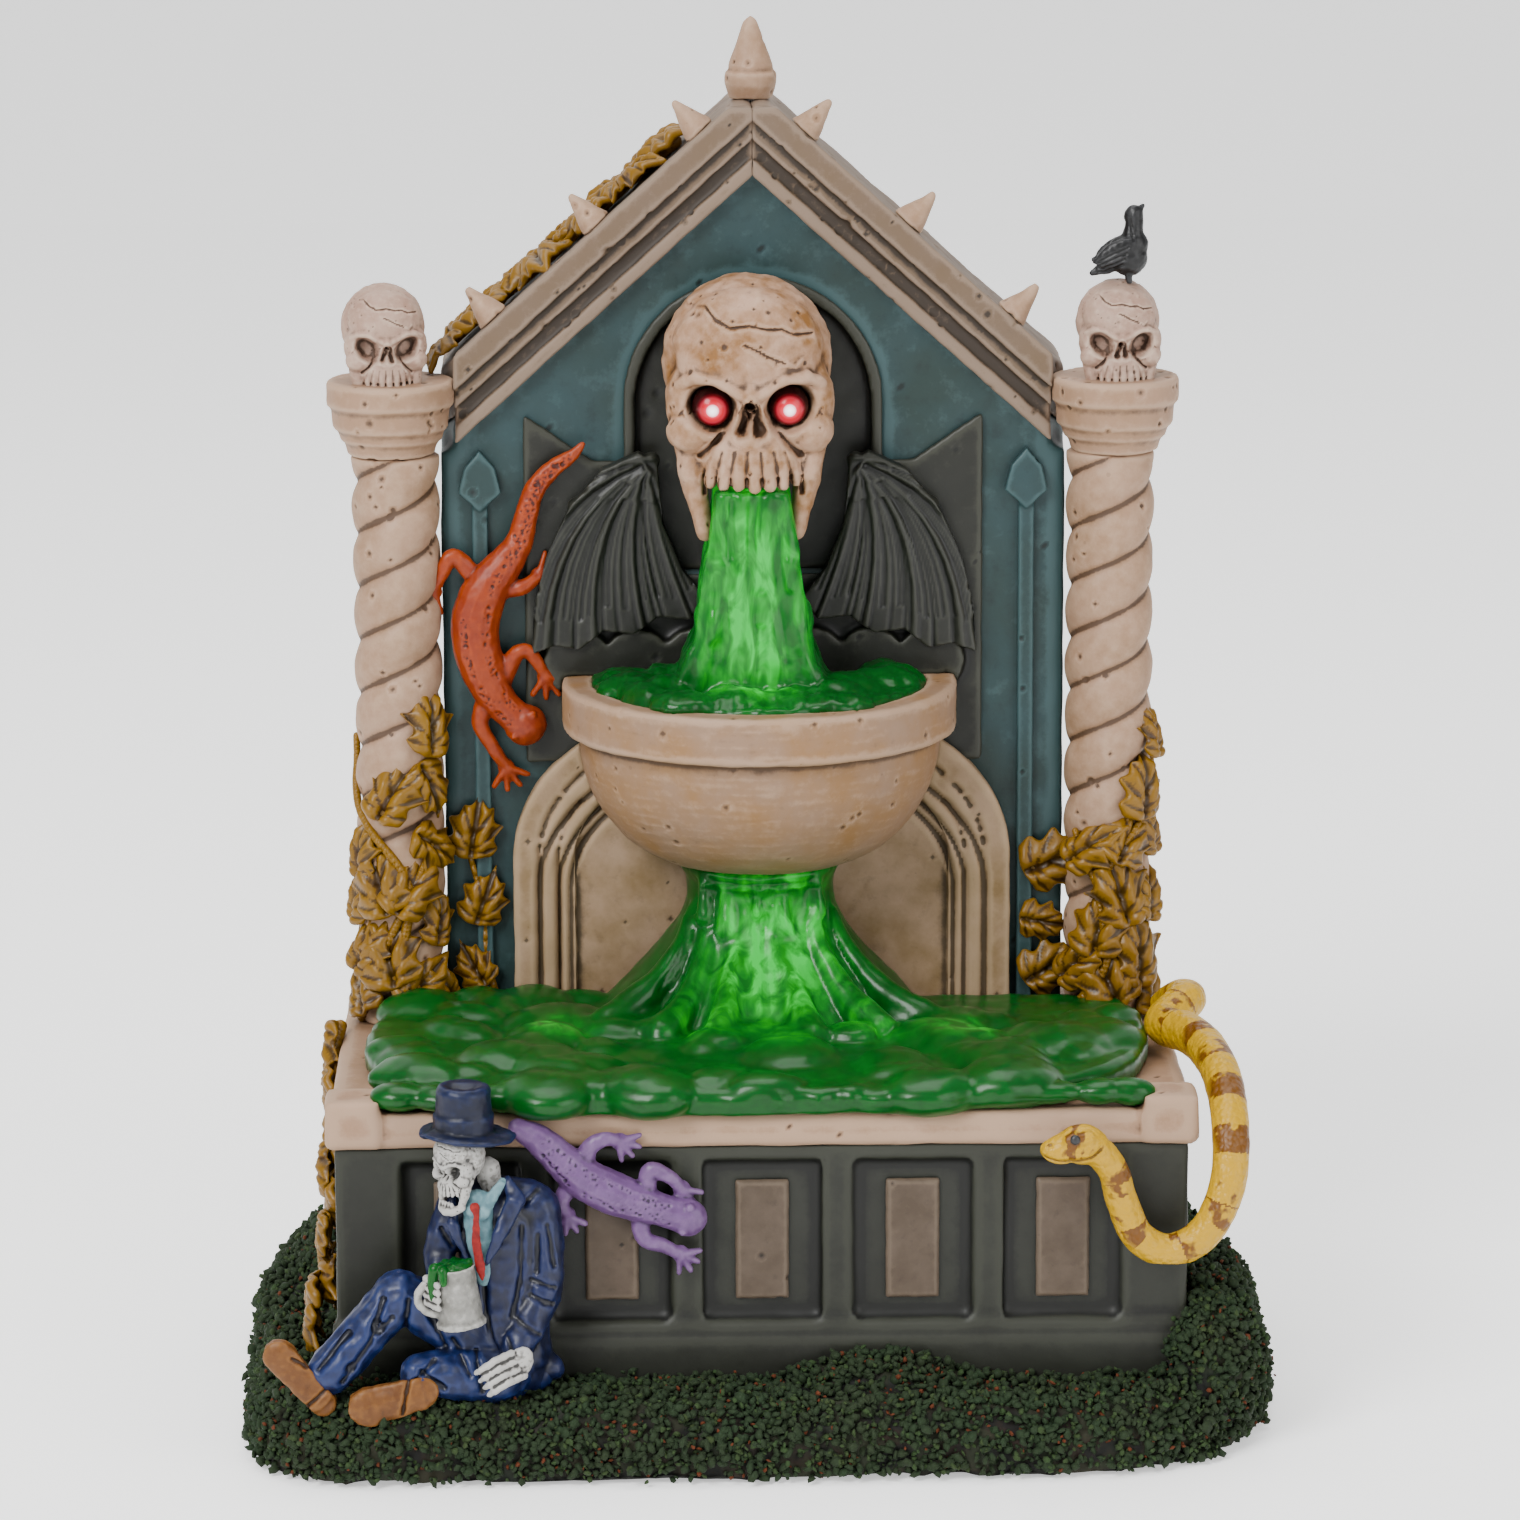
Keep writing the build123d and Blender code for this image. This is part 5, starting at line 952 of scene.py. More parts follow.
class Slime:
    """The tinted resin: stream, bowlful, fall and pool, lit from within."""

    LAMPS = (  # x, y, z, reach in mm, strength
        (-0.5, 5.0, 110.0, 9.0, 0.62), (-0.3, 4.0, 101.0, 9.5, 0.6), (-0.3, 3.0, 93.5, 9.5, 0.6),
        (0.0, -1.0, 87.0, 6.5, 0.4), (2.0, 4.0, 60.0, 10.5, 0.55), (3.0, 2.0, 54.0, 10.5, 0.5), (1.0, 0.0, 48.0, 11.0, 0.4),
        (-25.0, -5.0, 46.0, 5.5, 0.75), (25.5, -7.0, 46.0, 6.0, 0.7), (4.0, -14.0, 46.0, 5.0, 0.55),
        (-8.0, -7.0, 47.0, 6.0, 0.4), (14.0, -6.0, 47.0, 6.0, 0.45),
    )

    @classmethod
    def glow(cls, at: np.ndarray) -> np.ndarray:
        """How strongly the lamps light each point through the resin."""
        total = np.zeros(len(at))
        for x, y, z, reach, strength in cls.LAMPS:
            away = ((at - (x, y, z)) ** 2).sum(1)
            total += strength * np.exp(-away / (2 * (reach * 0.62) ** 2))
        return np.clip(total, 0, 1.0)

    def build(self) -> None:
        """Make the stream with the bowlful, and the fall with the pool."""
        self._stream()
        self._pool()

    @staticmethod
    def _blobs(base: Cast, clay: Clay, low: float, high: float, count: int, seed: int, size: tuple[float, float],
               flat: float) -> None:
        """Heap soft lumps over the level top of a skin."""
        way = base.outward()
        top = np.nonzero((base.at[:, 2] > low) & (base.at[:, 2] < high) & (way[:, 2] > 0.5))[0]
        rng = random.Random(seed)
        (west, front, _), (east, rear, _) = base.at.min(0), base.at.max(0)
        for _ in range(count):
            x, y, z = base.at[top[rng.randrange(len(top))]]
            r = rng.uniform(*size)
            x, y = min(max(x, west + r), east - r), min(max(y, front + 0.5 * r), rear - 0.5 * r)
            clay.ball((x, y, z - r * flat * 0.3), (r, r * rng.uniform(0.6, 1.0), r * flat), (0, 0, rng.uniform(0, 180)))

    def _stream(self) -> None:
        """The stream out of the mouth and the lumpy bowlful."""
        base = Clay().node("slime_spout").fuse(0.6, 1)
        clay = Clay().node("slime_spout")
        self._blobs(base, clay, 86.0, 88.5, 30, 4, (2.6, 5.4), 0.5)
        clay.ball((-9.0, -3.0, 87.6), (4.4, 3.4, 1.9)).ball((9.5, -2.6, 87.4), (5.0, 3.2, 1.7))
        for x, z, r in ((-6.0, 97.0, 1.3), (6.2, 96.6, 1.5), (-6.2, 93.2, 1.4), (6.6, 93.4, 1.3)):
            clay.ball((x - 0.5, 5.5, z), (r, 1.6, r * 1.9))
        skin = clay.fuse(0.34, 2)
        skin.clip(high=(None, 18.0, None))
        for line, width, depth in (
                (((-4.0, 113), (-4.6, 105), (-5.4, 97), (-7.0, 89)), 1.3, -0.4),
                (((-1.6, 113), (-1.9, 104), (-2.4, 96), (-2.0, 88)), 1.1, -0.4),
                (((1.2, 113), (1.4, 103), (2.4, 95), (3.6, 88)), 1.3, -0.5),
                (((3.4, 113), (4.1, 104), (5.2, 95), (8.0, 88)), 1.2, -0.35),
                (((-2.9, 112), (-3.4, 102), (-4.0, 92)), 0.5, 0.35), (((-0.2, 112), (-0.4, 101), (0.2, 91)), 0.5, 0.35),
                (((2.4, 112), (2.9, 102), (3.9, 92)), 0.5, 0.3), (((-5.8, 104), (-6.4, 96), (-8.6, 89)), 0.5, 0.3),
                (((5.6, 104), (6.6, 97), (9.6, 89)), 0.5, 0.3)):
            skin.score(curve(line), width, depth)
        for x, z, long in ((-3.4, 100.6, 3.4), (4.2, 101.4, 3.0), (0.6, 97.0, 3.2), (-5.2, 95.0, 2.6)):
            skin.score([(x, z + long), (x, z)], 1.2, -0.55)
        skin.rough((1.7, 2.6, 7.0), 0.42, 21).rough(2.0, 0.1, 22).relax(2)
        skin.clip(high=(None, 18.0, 113.4)).mark("glow", self.glow(skin.at))
        skin.piece("slime_stream", Paint.SLIME, "slime_resin", ["slime_spout"])

    def _pool(self) -> None:
        """The fall under the bowl, its spreading skirts and the pool that laps over the ledge."""
        base = Clay().node("slime_fall").fuse(0.8, 1)
        clay = Clay().node("slime_fall")
        self._blobs(base, clay, 44.6, 48.0, 70, 8, (3.4, 7.2), 0.46)
        rng = random.Random(5)
        rim = [(-44 + 88 * i / 21, -26.9 - 1.6 * math.sin(math.pi * i / 21)) for i in range(22)]
        for x, y in rim:
            clay.ball((x + rng.uniform(-1, 1), y + rng.uniform(-0.3, 0.6), 44.7),
                      (rng.uniform(2.2, 4.2), rng.uniform(2.0, 3.0), rng.uniform(1.3, 1.9)))
        for x, y, z, reach in ((-12.5, -4, 46.8, 3.4), (-5, -9, 46.6, 3.6), (3.5, -11, 46.6, 3.8), (11.5, -7, 46.8, 3.4),
                               (-18, 3, 46.4, 3.2), (18.5, 2, 46.4, 3.4)):
            clay.ball((x, y, z), (reach, reach * 0.8, 1.5))
        for path, girth in (
                (((-7.6, 10.0, 59.0), (-9.4, 6.4, 54.6), (-13.4, 3.2, 50.0), (-19.0, -1.0, 46.6)), (1.0, 1.5, 1.9, 2.3)),
                (((-5.4, 7.6, 58.0), (-6.6, 4.6, 54.0), (-8.6, 0.4, 49.6), (-12.0, -5.6, 46.4)), (0.9, 1.4, 1.8, 2.3)),
                (((-2.4, 5.6, 57.0), (-2.8, 3.2, 54.0), (-3.8, -1.2, 49.8), (-4.8, -6.6, 46.6)), (0.8, 1.1, 1.6, 2.2)),
                (((3.2, 5.4, 56.0), (3.6, 2.4, 53.0), (4.8, -1.6, 49.4), (6.6, -7.6, 46.4)), (0.8, 1.2, 1.7, 2.4)),
                (((6.8, 7.4, 58.6), (8.4, 4.0, 54.0), (11.0, 0.8, 49.8), (15.2, -4.0, 46.4)), (0.9, 1.4, 1.9, 2.3)),
                (((9.4, 10.4, 58.0), (11.6, 7.2, 53.6), (15.6, 4.0, 49.6), (22.0, 0.0, 46.4)), (1.0, 1.5, 1.9, 2.2)),
                (((-6.6, 7.6, 63.0), (-6.4, 6.8, 58.4)), (0.9, 1.2)), (((-3.6, 6.4, 63.0), (-3.7, 5.2, 57.0)), (0.9, 1.3)),
                (((0.4, 5.2, 63.0), (0.4, 4.6, 59.6)), (0.8, 1.1)), (((3.0, 5.8, 63.0), (3.2, 4.8, 57.4)), (0.9, 1.4)),
                (((7.6, 7.8, 63.0), (7.8, 7.2, 59.0)), (0.8, 1.1))):
            line = curve(path)
            clay.rod(line, list(np.interp(np.linspace(0, 1, len(line)), np.linspace(0, 1, len(girth)), girth)))
        skin = clay.fuse(0.48, 2)
        for line, width, depth in (
                (((0.9, 61), (0.8, 54), (1.2, 48)), 0.9, 0.5), (((-8.6, 61), (-9.2, 55), (-12.5, 50)), 0.7, 0.4),
                (((8.8, 61), (9.8, 55), (13.5, 50)), 0.7, 0.4), (((-10.6, 62.9), (0.6, 62.5), (11.6, 62.9)), 0.7, -0.4)):
            skin.score(curve(line), width, depth, back=12.0)
        skin.rough(4.5, 0.25, 9)
        skin.clip(high=(None, 16.0, 64.4))
        skin.mark("glow", self.glow(skin.at))
        skin.piece("slime_pool", Paint.SLIME, "slime_resin", ["slime_fall"])


# ------------------------------------------------------------------ creatures
@dataclass(frozen=True)
class Newt:
    """A salamander lying flat against a face of the building."""

    name: str
    node: str
    slot: str
    finish: CastPaint
    plane: float
    spine: tuple[tuple[float, float, float], ...]  # x, z, girth
    legs: tuple[tuple[tuple[float, float], ...], ...]
    toe: float = 2.0

    def build(self) -> None:
        """Model the body, limbs, toes and eyes, then dimple the back."""
        clay = Clay()
        line = curve(self.spine)
        clay.rod([(x, self.plane, z) for x, z, _ in line], [g for *_, g in line], 0.82)
        for leg in self.legs:
            path = curve(leg)
            shape = np.linspace(1.25, 0.75, len(path))
            lift = np.sin(np.linspace(0, math.pi, len(path))) * 0.7
            clay.rod([(x, self.plane + 0.5 - h, z) for (x, z), h in zip(path, lift)], list(shape), 0.9)
            (x0, z0), (x, z) = path[-3], path[-1]
            aim = math.atan2(z - z0, x - x0)
            clay.ball((x, self.plane + 0.6, z), (1.1, 0.6, 1.1))
            for spread in (-62, -28, 4, 38):
                a = aim + math.radians(spread)
                tip = (x + math.cos(a) * self.toe, self.plane + 0.9, z + math.sin(a) * self.toe)
                clay.rod([(x, self.plane + 0.3, z), tip], [0.52, 0.36])
        (x0, z0, _), (x, z, wide) = self.spine[-2], self.spine[-1]
        aim = Vector((x - x0, z - z0)).normalized()
        across = Vector((-aim.y, aim.x))
        clay.ball((x, self.plane, z), (wide * 1.08, wide * 0.85, wide * 1.08))
        for s in (-1, 1):
            spot = Vector((x, z)) - aim * wide * 0.1 + across * wide * 0.7 * s
            clay.ball((spot.x, self.plane - wide * 0.55, spot.y), (0.62, 0.55, 0.62), detail=2)
        skin = clay.fuse(0.2, 1)
        rng = random.Random(len(self.name))
        for px, pz, girth in line[8:-4]:
            for _ in range(7):
                a = rng.uniform(-0.9, 0.9) * girth
                skin.press([(px + across.x * a + rng.uniform(-0.5, 0.5), self.plane - girth * 0.7,
                             pz + across.y * a + rng.uniform(-0.5, 0.5))], rng.uniform(0.24, 0.4), -0.17)
        skin.rough(1.6, 0.1, 14)
        skin.piece(self.name, self.finish, self.slot, [self.node])


class Creatures:
    """Salamanders, snake and crow."""

    ORANGE = Newt("orange_salamander_casting", "orange_salamander", "orange_paint", Paint.ORANGE, 16.6,
                  ((-21.3, 117.0, 0.35), (-22.6, 115.6, 0.8), (-25.2, 113.8, 1.15), (-27.4, 111.2, 1.35),
                   (-28.6, 107.6, 1.5), (-29.4, 104.6, 1.75), (-31.4, 101.6, 2.3), (-33.6, 98.6, 2.9),
                   (-34.9, 95.2, 3.1), (-35.0, 92.0, 3.0), (-34.3, 88.8, 2.9), (-33.0, 85.6, 2.5), (-31.0, 83.0, 2.1),
                   (-28.9, 81.2, 2.5)),
                  (((-34.6, 99.6), (-37.6, 102.8), (-39.2, 100.6), (-40.2, 98.2)),
                   ((-31.8, 98.4), (-29.0, 98.9), (-27.0, 100.2)),
                   ((-31.8, 86.4), (-30.0, 90.2), (-28.2, 90.4), (-26.3, 87.4)),
                   ((-33.6, 85.0), (-34.6, 81.6), (-33.2, 78.6), (-31.4, 75.6))), 3.0)
    PURPLE = Newt("purple_salamander_casting", "purple_salamander", "purple_paint", Paint.PURPLE, -30.4,
                  ((-29.4, 41.6, 1.3), (-26.9, 40.2, 1.9), (-24.6, 38.0, 2.2), (-22.0, 35.6, 2.55),
                   (-18.8, 33.8, 2.7), (-15.4, 32.4, 2.5), (-12.6, 31.4, 2.05), (-9.0, 30.3, 2.15)),
                  (((-21.6, 36.4), (-20.8, 39.2), (-18.8, 40.3), (-17.2, 39.8)),
                   ((-14.0, 32.8), (-13.6, 36.2), (-11.2, 35.4), (-9.8, 33.8)),
                   ((-14.8, 31.2), (-14.4, 27.9), (-12.0, 26.8), (-10.0, 25.6)),
                   ((-22.8, 35.0), (-24.2, 32.6), (-23.6, 30.6))), 2.5)
    ROUTE = ((51.4, 13.0, 45.2, 1.6), (52.8, 8.6, 47.0, 2.4), (54.0, 4.0, 48.0, 2.9), (50.6, -1.5, 46.4, 2.9),
             (53.2, -7.0, 46.6, 3.0), (55.0, -13.0, 46.2, 2.9), (56.2, -21.0, 44.8, 2.8), (56.6, -28.6, 40.6, 2.7),
             (56.1, -31.6, 34.4, 2.6), (53.4, -32.4, 28.6, 2.5), (49.0, -32.6, 26.3, 2.4), (45.2, -32.6, 28.2, 2.35),
             (43.2, -32.8, 32.8, 2.3), (42.0, -33.2, 36.8, 2.2), (39.8, -33.8, 39.4, 2.3), (37.6, -34.2, 40.0, 2.5),
             (35.6, -34.4, 39.8, 1.9), (34.2, -34.5, 39.6, 1.3))

    def build(self) -> None:
        """Make them all."""
        self.ORANGE.build()
        self.PURPLE.build()
        self._snake()
        self._crow()

    def _snake(self) -> None:
        """The yellow snake, looped over the ledge with its head raised."""
        path = np.array(curve(self.ROUTE, 7)) * (1.0, 1.0, 1.0, 0.86)
        clay = Clay().rod([p[:3] for p in path], [p[3] for p in path])
        clay.ball((38.4, -34.0, 40.1), (3.1, 2.3, 2.5), (0, 8, 0)).ball((35.6, -34.4, 39.4), (2.3, 1.7, 1.6), (0, 4, 0))
        clay.rod([(39.0, -35.7, 41.4), (36.6, -35.8, 41.2)], [0.8, 0.7])
        skin = clay.fuse(0.26, 2)
        skin.score([(33.4, 38.9), (35.2, 38.5), (37.4, 38.3), (39.4, 38.9), (40.4, 39.8)], 0.42, 0.5)
        skin.score([(34.2, 40.3), (34.5, 40.4)], 0.35, 0.4)
        skin.clip(low=(None, None, 25.0), high=(59.4, None, None))
        gap = ((skin.at[:, None, ::1] - path[None, ::3, :3]) ** 2).sum(2)
        near = gap.argmin(1) * 3
        steps = np.concatenate([[0], np.cumsum(np.linalg.norm(np.diff(path[:, :3], axis=0), axis=1))])
        away = (skin.at - path[near, :3]) / path[near, 3][:, None]
        skin.mark("along", steps[near]).mark("around", away @ np.array([0.35, -0.62, 0.7]))
        skin.rough(2.0, 0.08, 8)
        skin.piece("snake_casting", Paint.SNAKE, "snake_paint", ["snake"])
        eye = Clay().ball((37.3, -36.35, 41.3), (0.62, 0.42, 0.62), detail=3).keep()
        eye.piece("snake_eye", Paint.ABS, "crow_paint")

    def _crow(self) -> None:
        """The crow on the right skull, head up and tail down to the left."""
        y = 16.4
        clay = Clay().ball((46.6, y, 140.4), (2.5, 2.0, 2.7), (0, -28, 0)).ball((47.3, y, 141.6), (1.9, 1.7, 2.1))
        clay.rod([(47.2, y, 142.0), (47.4, y, 144.2), (47.4, y, 145.6)], [1.5, 1.15, 1.15])
        clay.rod([(47.6, y, 145.6), (48.5, y, 146.6)], [0.8, 0.25]).ball((47.2, y, 145.3), (1.15, 1.05, 1.2))
        clay.rod([(46.0, y, 140.2), (43.9, y, 138.9), (42.3, y, 138.2)], [1.6, 1.0, 0.45], 0.7)
        for s in (-1, 1):
            clay.ball((45.2, y + s * 1.35, 140.8), (2.9, 0.7, 1.5), (0, -30, s * 4))
            clay.rod([(44.4, y + s * 1.3, 140.4), (42.5, y + s * 0.9, 139.7)], [0.8, 0.35], 0.6)
            clay.rod([(46.7, y + s * 0.7, 138.6), (46.8, y + s * 0.8, 137.2)], [0.45, 0.4])
        skin = clay.fuse(0.16, 2)
        for i in range(5):
            z = 141.6 - i * 0.75
            skin.score([(46.6 - i * 0.25, z), (44.6 - i * 0.2, z - 0.9), (42.9, z - 1.9 + i * 0.3)], 0.28, 0.22)
        skin.score([(46.9, 145.0), (47.2, 142.4)], 0.3, 0.15).rough(0.9, 0.08, 3)
        skin.piece("crow_casting", Paint.CROW, "crow_paint", ["crow"])


class Loafer:
    """The skeleton in a suit, slumped against the trough with a mug."""

    def build(self) -> None:
        """Make the hat, bones, clothes, shoes and mug."""
        self._hat()
        self._bones()
        self._clothes()
        self._shoes()
        self._mug()

    @staticmethod
    def _hat() -> None:
        """A felt hat with a band and a curled brim."""
        clay = Clay().ball((-35.3, -34.6, 42.2), (6.0, 5.2, 0.75), (0, 5, 0))
        clay.lathe([(0, 42.4), (3.6, 42.4), (3.65, 44.6), (3.4, 44.8), (3.3, 47.6), (2.9, 48.2), (0, 48.0)],
                   (-35.8, -34.4, 0), 40)
        skin = clay.fuse(0.2, 2).press([(-36.8, -34.4, 48.2), (-35.0, -34.4, 48.2)], 1.7, -0.6, (0, 0, 1))
        skin.press([(-40.6, -35.0, 41.9)], 2.2, -0.6, (0, 0, 1)).press([(-30.0, -35.0, 42.6)], 2.2, 0.4, (0, 0, 1))
        skin.rough(1.6, 0.12, 2)
        skin.piece("felt_hat", Paint.HAT, "suit_paint", ["seated_figure"])

    @staticmethod
    def _bones() -> None:
        """Skull, neck and both bony hands."""
        skull = Skull(0.42, False, 9, True).at((-36.0, -35.2, 35.3), 0.3, -50.0, 4.0)
        # strong contrast: near-black hollows and pale edges, as black wash with painted shade and dry brushing with
        # painted highlight
        skull.contrast = 4.0
        skull.piece("figure_skull", Paint.FIGURE_BONE, "bone_paint")
        clay = Clay().rod([(-33.0, -33.6, 37.6), (-32.4, -33.2, 33.4)], [1.5, 1.3])
        for i in range(4):
            x, z = -30.9 + i * 0.5, 16.4 - i * 0.92
            clay.rod([(x + 0.6, -40.0, z), (x - 1.4, -41.4, z - 0.5), (x - 3.0, -41.6, z - 1.5), (x - 3.6, -41.0, z - 2.1)],
                     [0.5, 0.46, 0.42, 0.32])
        clay.ball((-29.2, -39.6, 15.2), (1.5, 0.9, 2.0), (0, 20, 0))
        for i in range(4):
            z = 25.4 - i * 0.95
            clay.rod([(-38.8, -36.4, z - 0.2), (-40.4, -38.6, z), (-38.9, -40.9, z - 0.2)], [0.5, 0.48, 0.4])
        clay.ball((-39.4, -36.6, 24.0), (1.2, 1.2, 1.9))
        bones = clay.fuse(0.16, 1).rough(0.8, 0.08, 4)
        # strong contrast: near-black hollows and pale edges, as black wash with painted shade and dry brushing with
        # painted highlight
        bones.contrast = 4.0
        bones.piece("figure_bones", Paint.FIGURE_BONE, "bone_paint")

    @staticmethod
    def _clothes() -> None:
        """Jacket, shirt, tie and torn trousers."""
        y = -33.0
        coat = Clay().rod([(-31.6, y, 13.6), (-31.6, y, 22.0), (-31.4, y, 31.0)], [6.3, 5.4, 5.0], 0.78)
        coat.rod([(-37.0, y, 32.6), (-33.0, y + 0.6, 34.2), (-28.0, y, 33.0)], [2.4, 2.4, 2.9])
        coat.rod([(-27.2, y, 32.6), (-26.4, y - 0.6, 27.0), (-26.6, y - 1.4, 22.4), (-28.4, y - 3.4, 18.4),
                  (-29.6, y - 4.6, 16.6)], [2.9, 2.6, 2.5, 2.1, 2.0])
        coat.rod([(-37.4, y, 32.2), (-39.0, y - 1.0, 27.4), (-38.8, y - 2.6, 24.8)], [2.2, 2.0, 1.8])
        coat.rod([(-29.0, y - 0.6, 12.8), (-25.8, y - 0.2, 12.4)], [2.2, 1.8])
        coat.rod([(-30.6, y - 2.4, 36.6), (-29.6, y - 3.7, 34.6), (-31.6, y - 4.8, 30.6), (-33.2, y - 5.0, 27.0)],
                 [0.7, 1.15, 0.95, 0.4], 0.6)
        coat.rod([(-37.2, y - 2.6, 34.6), (-37.2, y - 3.8, 31.6), (-35.6, y - 4.6, 27.6)], [0.5, 0.8, 0.4], 0.6)
        skin = coat.fuse(0.26, 2)
        for line in (((-33.4, 26.8), (-33.4, 21), (-32.0, 15)), ((-29.0, 31), (-29.2, 25), (-30.2, 20)),
                     ((-27.8, 24.4), (-25.2, 23.4)), ((-27.9, 22.6), (-25.4, 21.4)), ((-29.6, 19.8), (-27.0, 18.0)),
                     ((-25.9, 31), (-25.2, 26)), ((-27.0, 30), (-27.2, 25.4)), ((-30.8, 18), (-28.6, 12)),
                     ((-28.6, 33.8), (-27.0, 35.2)), ((-38.6, 30.6), (-37.4, 28.4))):
            skin.score(curve([*line]) if len(line) > 2 else line, 0.55, 0.5)
        skin.rough(2.2, 0.22, 6).clip(high=(None, -28.9, None))
        skin.piece("suit_jacket", Paint.SUIT, "suit_paint")
        shirt = Clay().rod([(-34.2, y - 3.3, 34.0), (-34.0, y - 3.5, 29.6), (-33.6, y - 3.6, 24.6)], [1.9, 1.7, 0.9], 0.55)
        shirt.rod([(-31.2, y - 2.8, 36.6), (-33.6, y - 4.4, 33.2)], [0.55, 1.0], 0.6)
        shirt.rod([(-36.2, y - 3.0, 35.0), (-34.9, y - 4.2, 33.4)], [0.5, 0.8], 0.6)
        shirt.fuse(0.2, 2).rough(1.4, 0.12, 5).piece("shirt_front", Paint.SHIRT, "suit_paint")
        tie = Clay().rod([(-34.5, y - 4.8, 34.0), (-34.3, y - 5.2, 33.0), (-34.4, y - 5.3, 30.0), (-33.9, y - 5.3, 26.4),
                          (-33.7, y - 5.0, 25.0)], [0.65, 0.4, 0.55, 0.62, 0.2], 0.5)
        tie.fuse(0.14, 2).rough(0.9, 0.08, 5).piece("neck_tie", Paint.TIE, "suit_paint")
        legs = Clay().rod([(-31.0, y - 0.6, 14.0), (-36.8, y - 1.4, 18.0), (-43.6, y - 2.4, 22.6)], [4.4, 3.7, 3.0], 0.95)
        legs.rod([(-43.8, y - 2.4, 22.4), (-48.0, y - 3.2, 17.8), (-52.0, y - 4.0, 13.6)], [3.1, 2.9, 2.9])
        legs.rod([(-32.0, y - 2.6, 12.6), (-37.0, y - 4.4, 13.2), (-41.4, y - 5.4, 13.4)], [4.0, 3.2, 2.5])
        legs.rod([(-30.0, y - 1.0, 12.0), (-27.4, y, 12.0)], [3.2, 2.6])
        skin = legs.fuse(0.26, 2)
        for line in (((-45.6, 22.6), (-47.2, 17.6), (-50.6, 12.8)), ((-42.6, 22.4), (-43.2, 17.6)),
                     ((-49.8, 18.6), (-53.4, 14.2)), ((-46.8, 14.6), (-49.6, 12.0)), ((-40.6, 21.8), (-38.2, 16.6)),
                     ((-37.4, 17.6), (-35.2, 13.6)), ((-34.6, 16), (-33.8, 11.6)), ((-44.6, 20.4), (-46.4, 18.6)),
                     ((-38.4, 12.2), (-41.2, 14.4)), ((-39.6, 15.4), (-42.2, 13.0))):
            skin.score(line, 0.6, 0.65)
        skin.press([(-46.4, y - 5.6, 19.4)], 1.3, -0.7).press([(-49.6, y - 6.2, 14.4)], 1.1, -0.7)
        skin.rough(2.4, 0.3, 7).clip(high=(None, -28.9, None))
        skin.piece("torn_trousers", Paint.TROUSERS, "suit_paint")

    @staticmethod
    def _shoes() -> None:
        """Two tan shoes with their soles to the viewer."""
        clay = Clay()
        for heel, toe, wide in (((-53.0, -37.4, 9.9), (-58.2, -38.0, 16.0), 1.9), ((-41.0, -39.2, 11.7),
                                                                                 (-47.6, -39.8, 10.0), 2.3)):
            h, t = Vector(heel), Vector(toe)
            clay.rod([h, h.lerp(t, 0.35), t], [wide * 0.88, wide * 0.82, wide * 1.02], 0.75)
            clay.rod([h + Vector((0, -1.2, 0)), t + Vector((0, -1.2, 0))], [wide * 0.9, wide * 1.05], 0.35)
        skin = clay.fuse(0.2, 2)
        skin.score([(-56.6, 15.8), (-54.8, 14.6)], 0.35, 0.5).score([(-54.9, 9.6), (-52.2, 12.2)], 0.4, 0.5)
        skin.score([(-43.4, 9.2), (-42.6, 13.4)], 0.4, 0.6).rough(1.6, 0.14, 4)
        skin.piece("tan_shoes", Paint.SHOE, "suit_paint")

    @staticmethod
    def _mug() -> None:
        """A pewter mug, tipped a little, with slime frothing over."""
        place = Matrix.Translation((-36.2, -38.7, 19.6)) @ Matrix.Rotation(math.radians(-7), 4, "Y")
        body = Clay().lathe([(0, 0), (2.95, 0), (3.0, 0.5), (2.65, 0.9), (2.45, 6.8), (2.6, 7.4), (2.2, 7.4), (2.1, 1.0),
                             (0, 1.0)], (0, 0, 0), 48)
        grip = [(-2.4 - 2.4 * math.sin(a), 0, 3.8 - 2.1 * math.cos(a)) for a in np.linspace(0.1, math.pi - 0.1, 12)]
        body.rod(grip, [0.5] * len(grip))
        skin = body.fuse(0.18, 2).rough(1.2, 0.12, 8).place(place)
        skin.piece("pewter_mug", Paint.PEWTER, "pewter_paint", ["beer_mug"])
        foam = Clay().ball((0, 0, 7.4), (2.35, 2.3, 0.7))
        rng = random.Random(3)
        for _ in range(14):
            a, r = rng.uniform(0, 2 * math.pi), rng.uniform(0.4, 2.1)
            foam.ball((r * math.cos(a), r * math.sin(a), 7.7), (0.6, 0.6, 0.5), detail=2)
        foam.rod([(-2.2, -1.2, 7.7), (-2.75, -1.5, 6.0), (-2.8, -1.4, 4.2)], [0.8, 0.6, 0.5])
        foam.rod([(-1.2, -2.3, 7.6), (-1.3, -2.7, 6.2)], [0.6, 0.45])
        froth = foam.fuse(0.16, 2).place(place)
        # no LED stands behind the froth; its faint even glow is painted light
        froth.mark("glow", np.full(len(froth.at), 0.1)).piece("mug_froth", Paint.SLIME, "slime_resin")


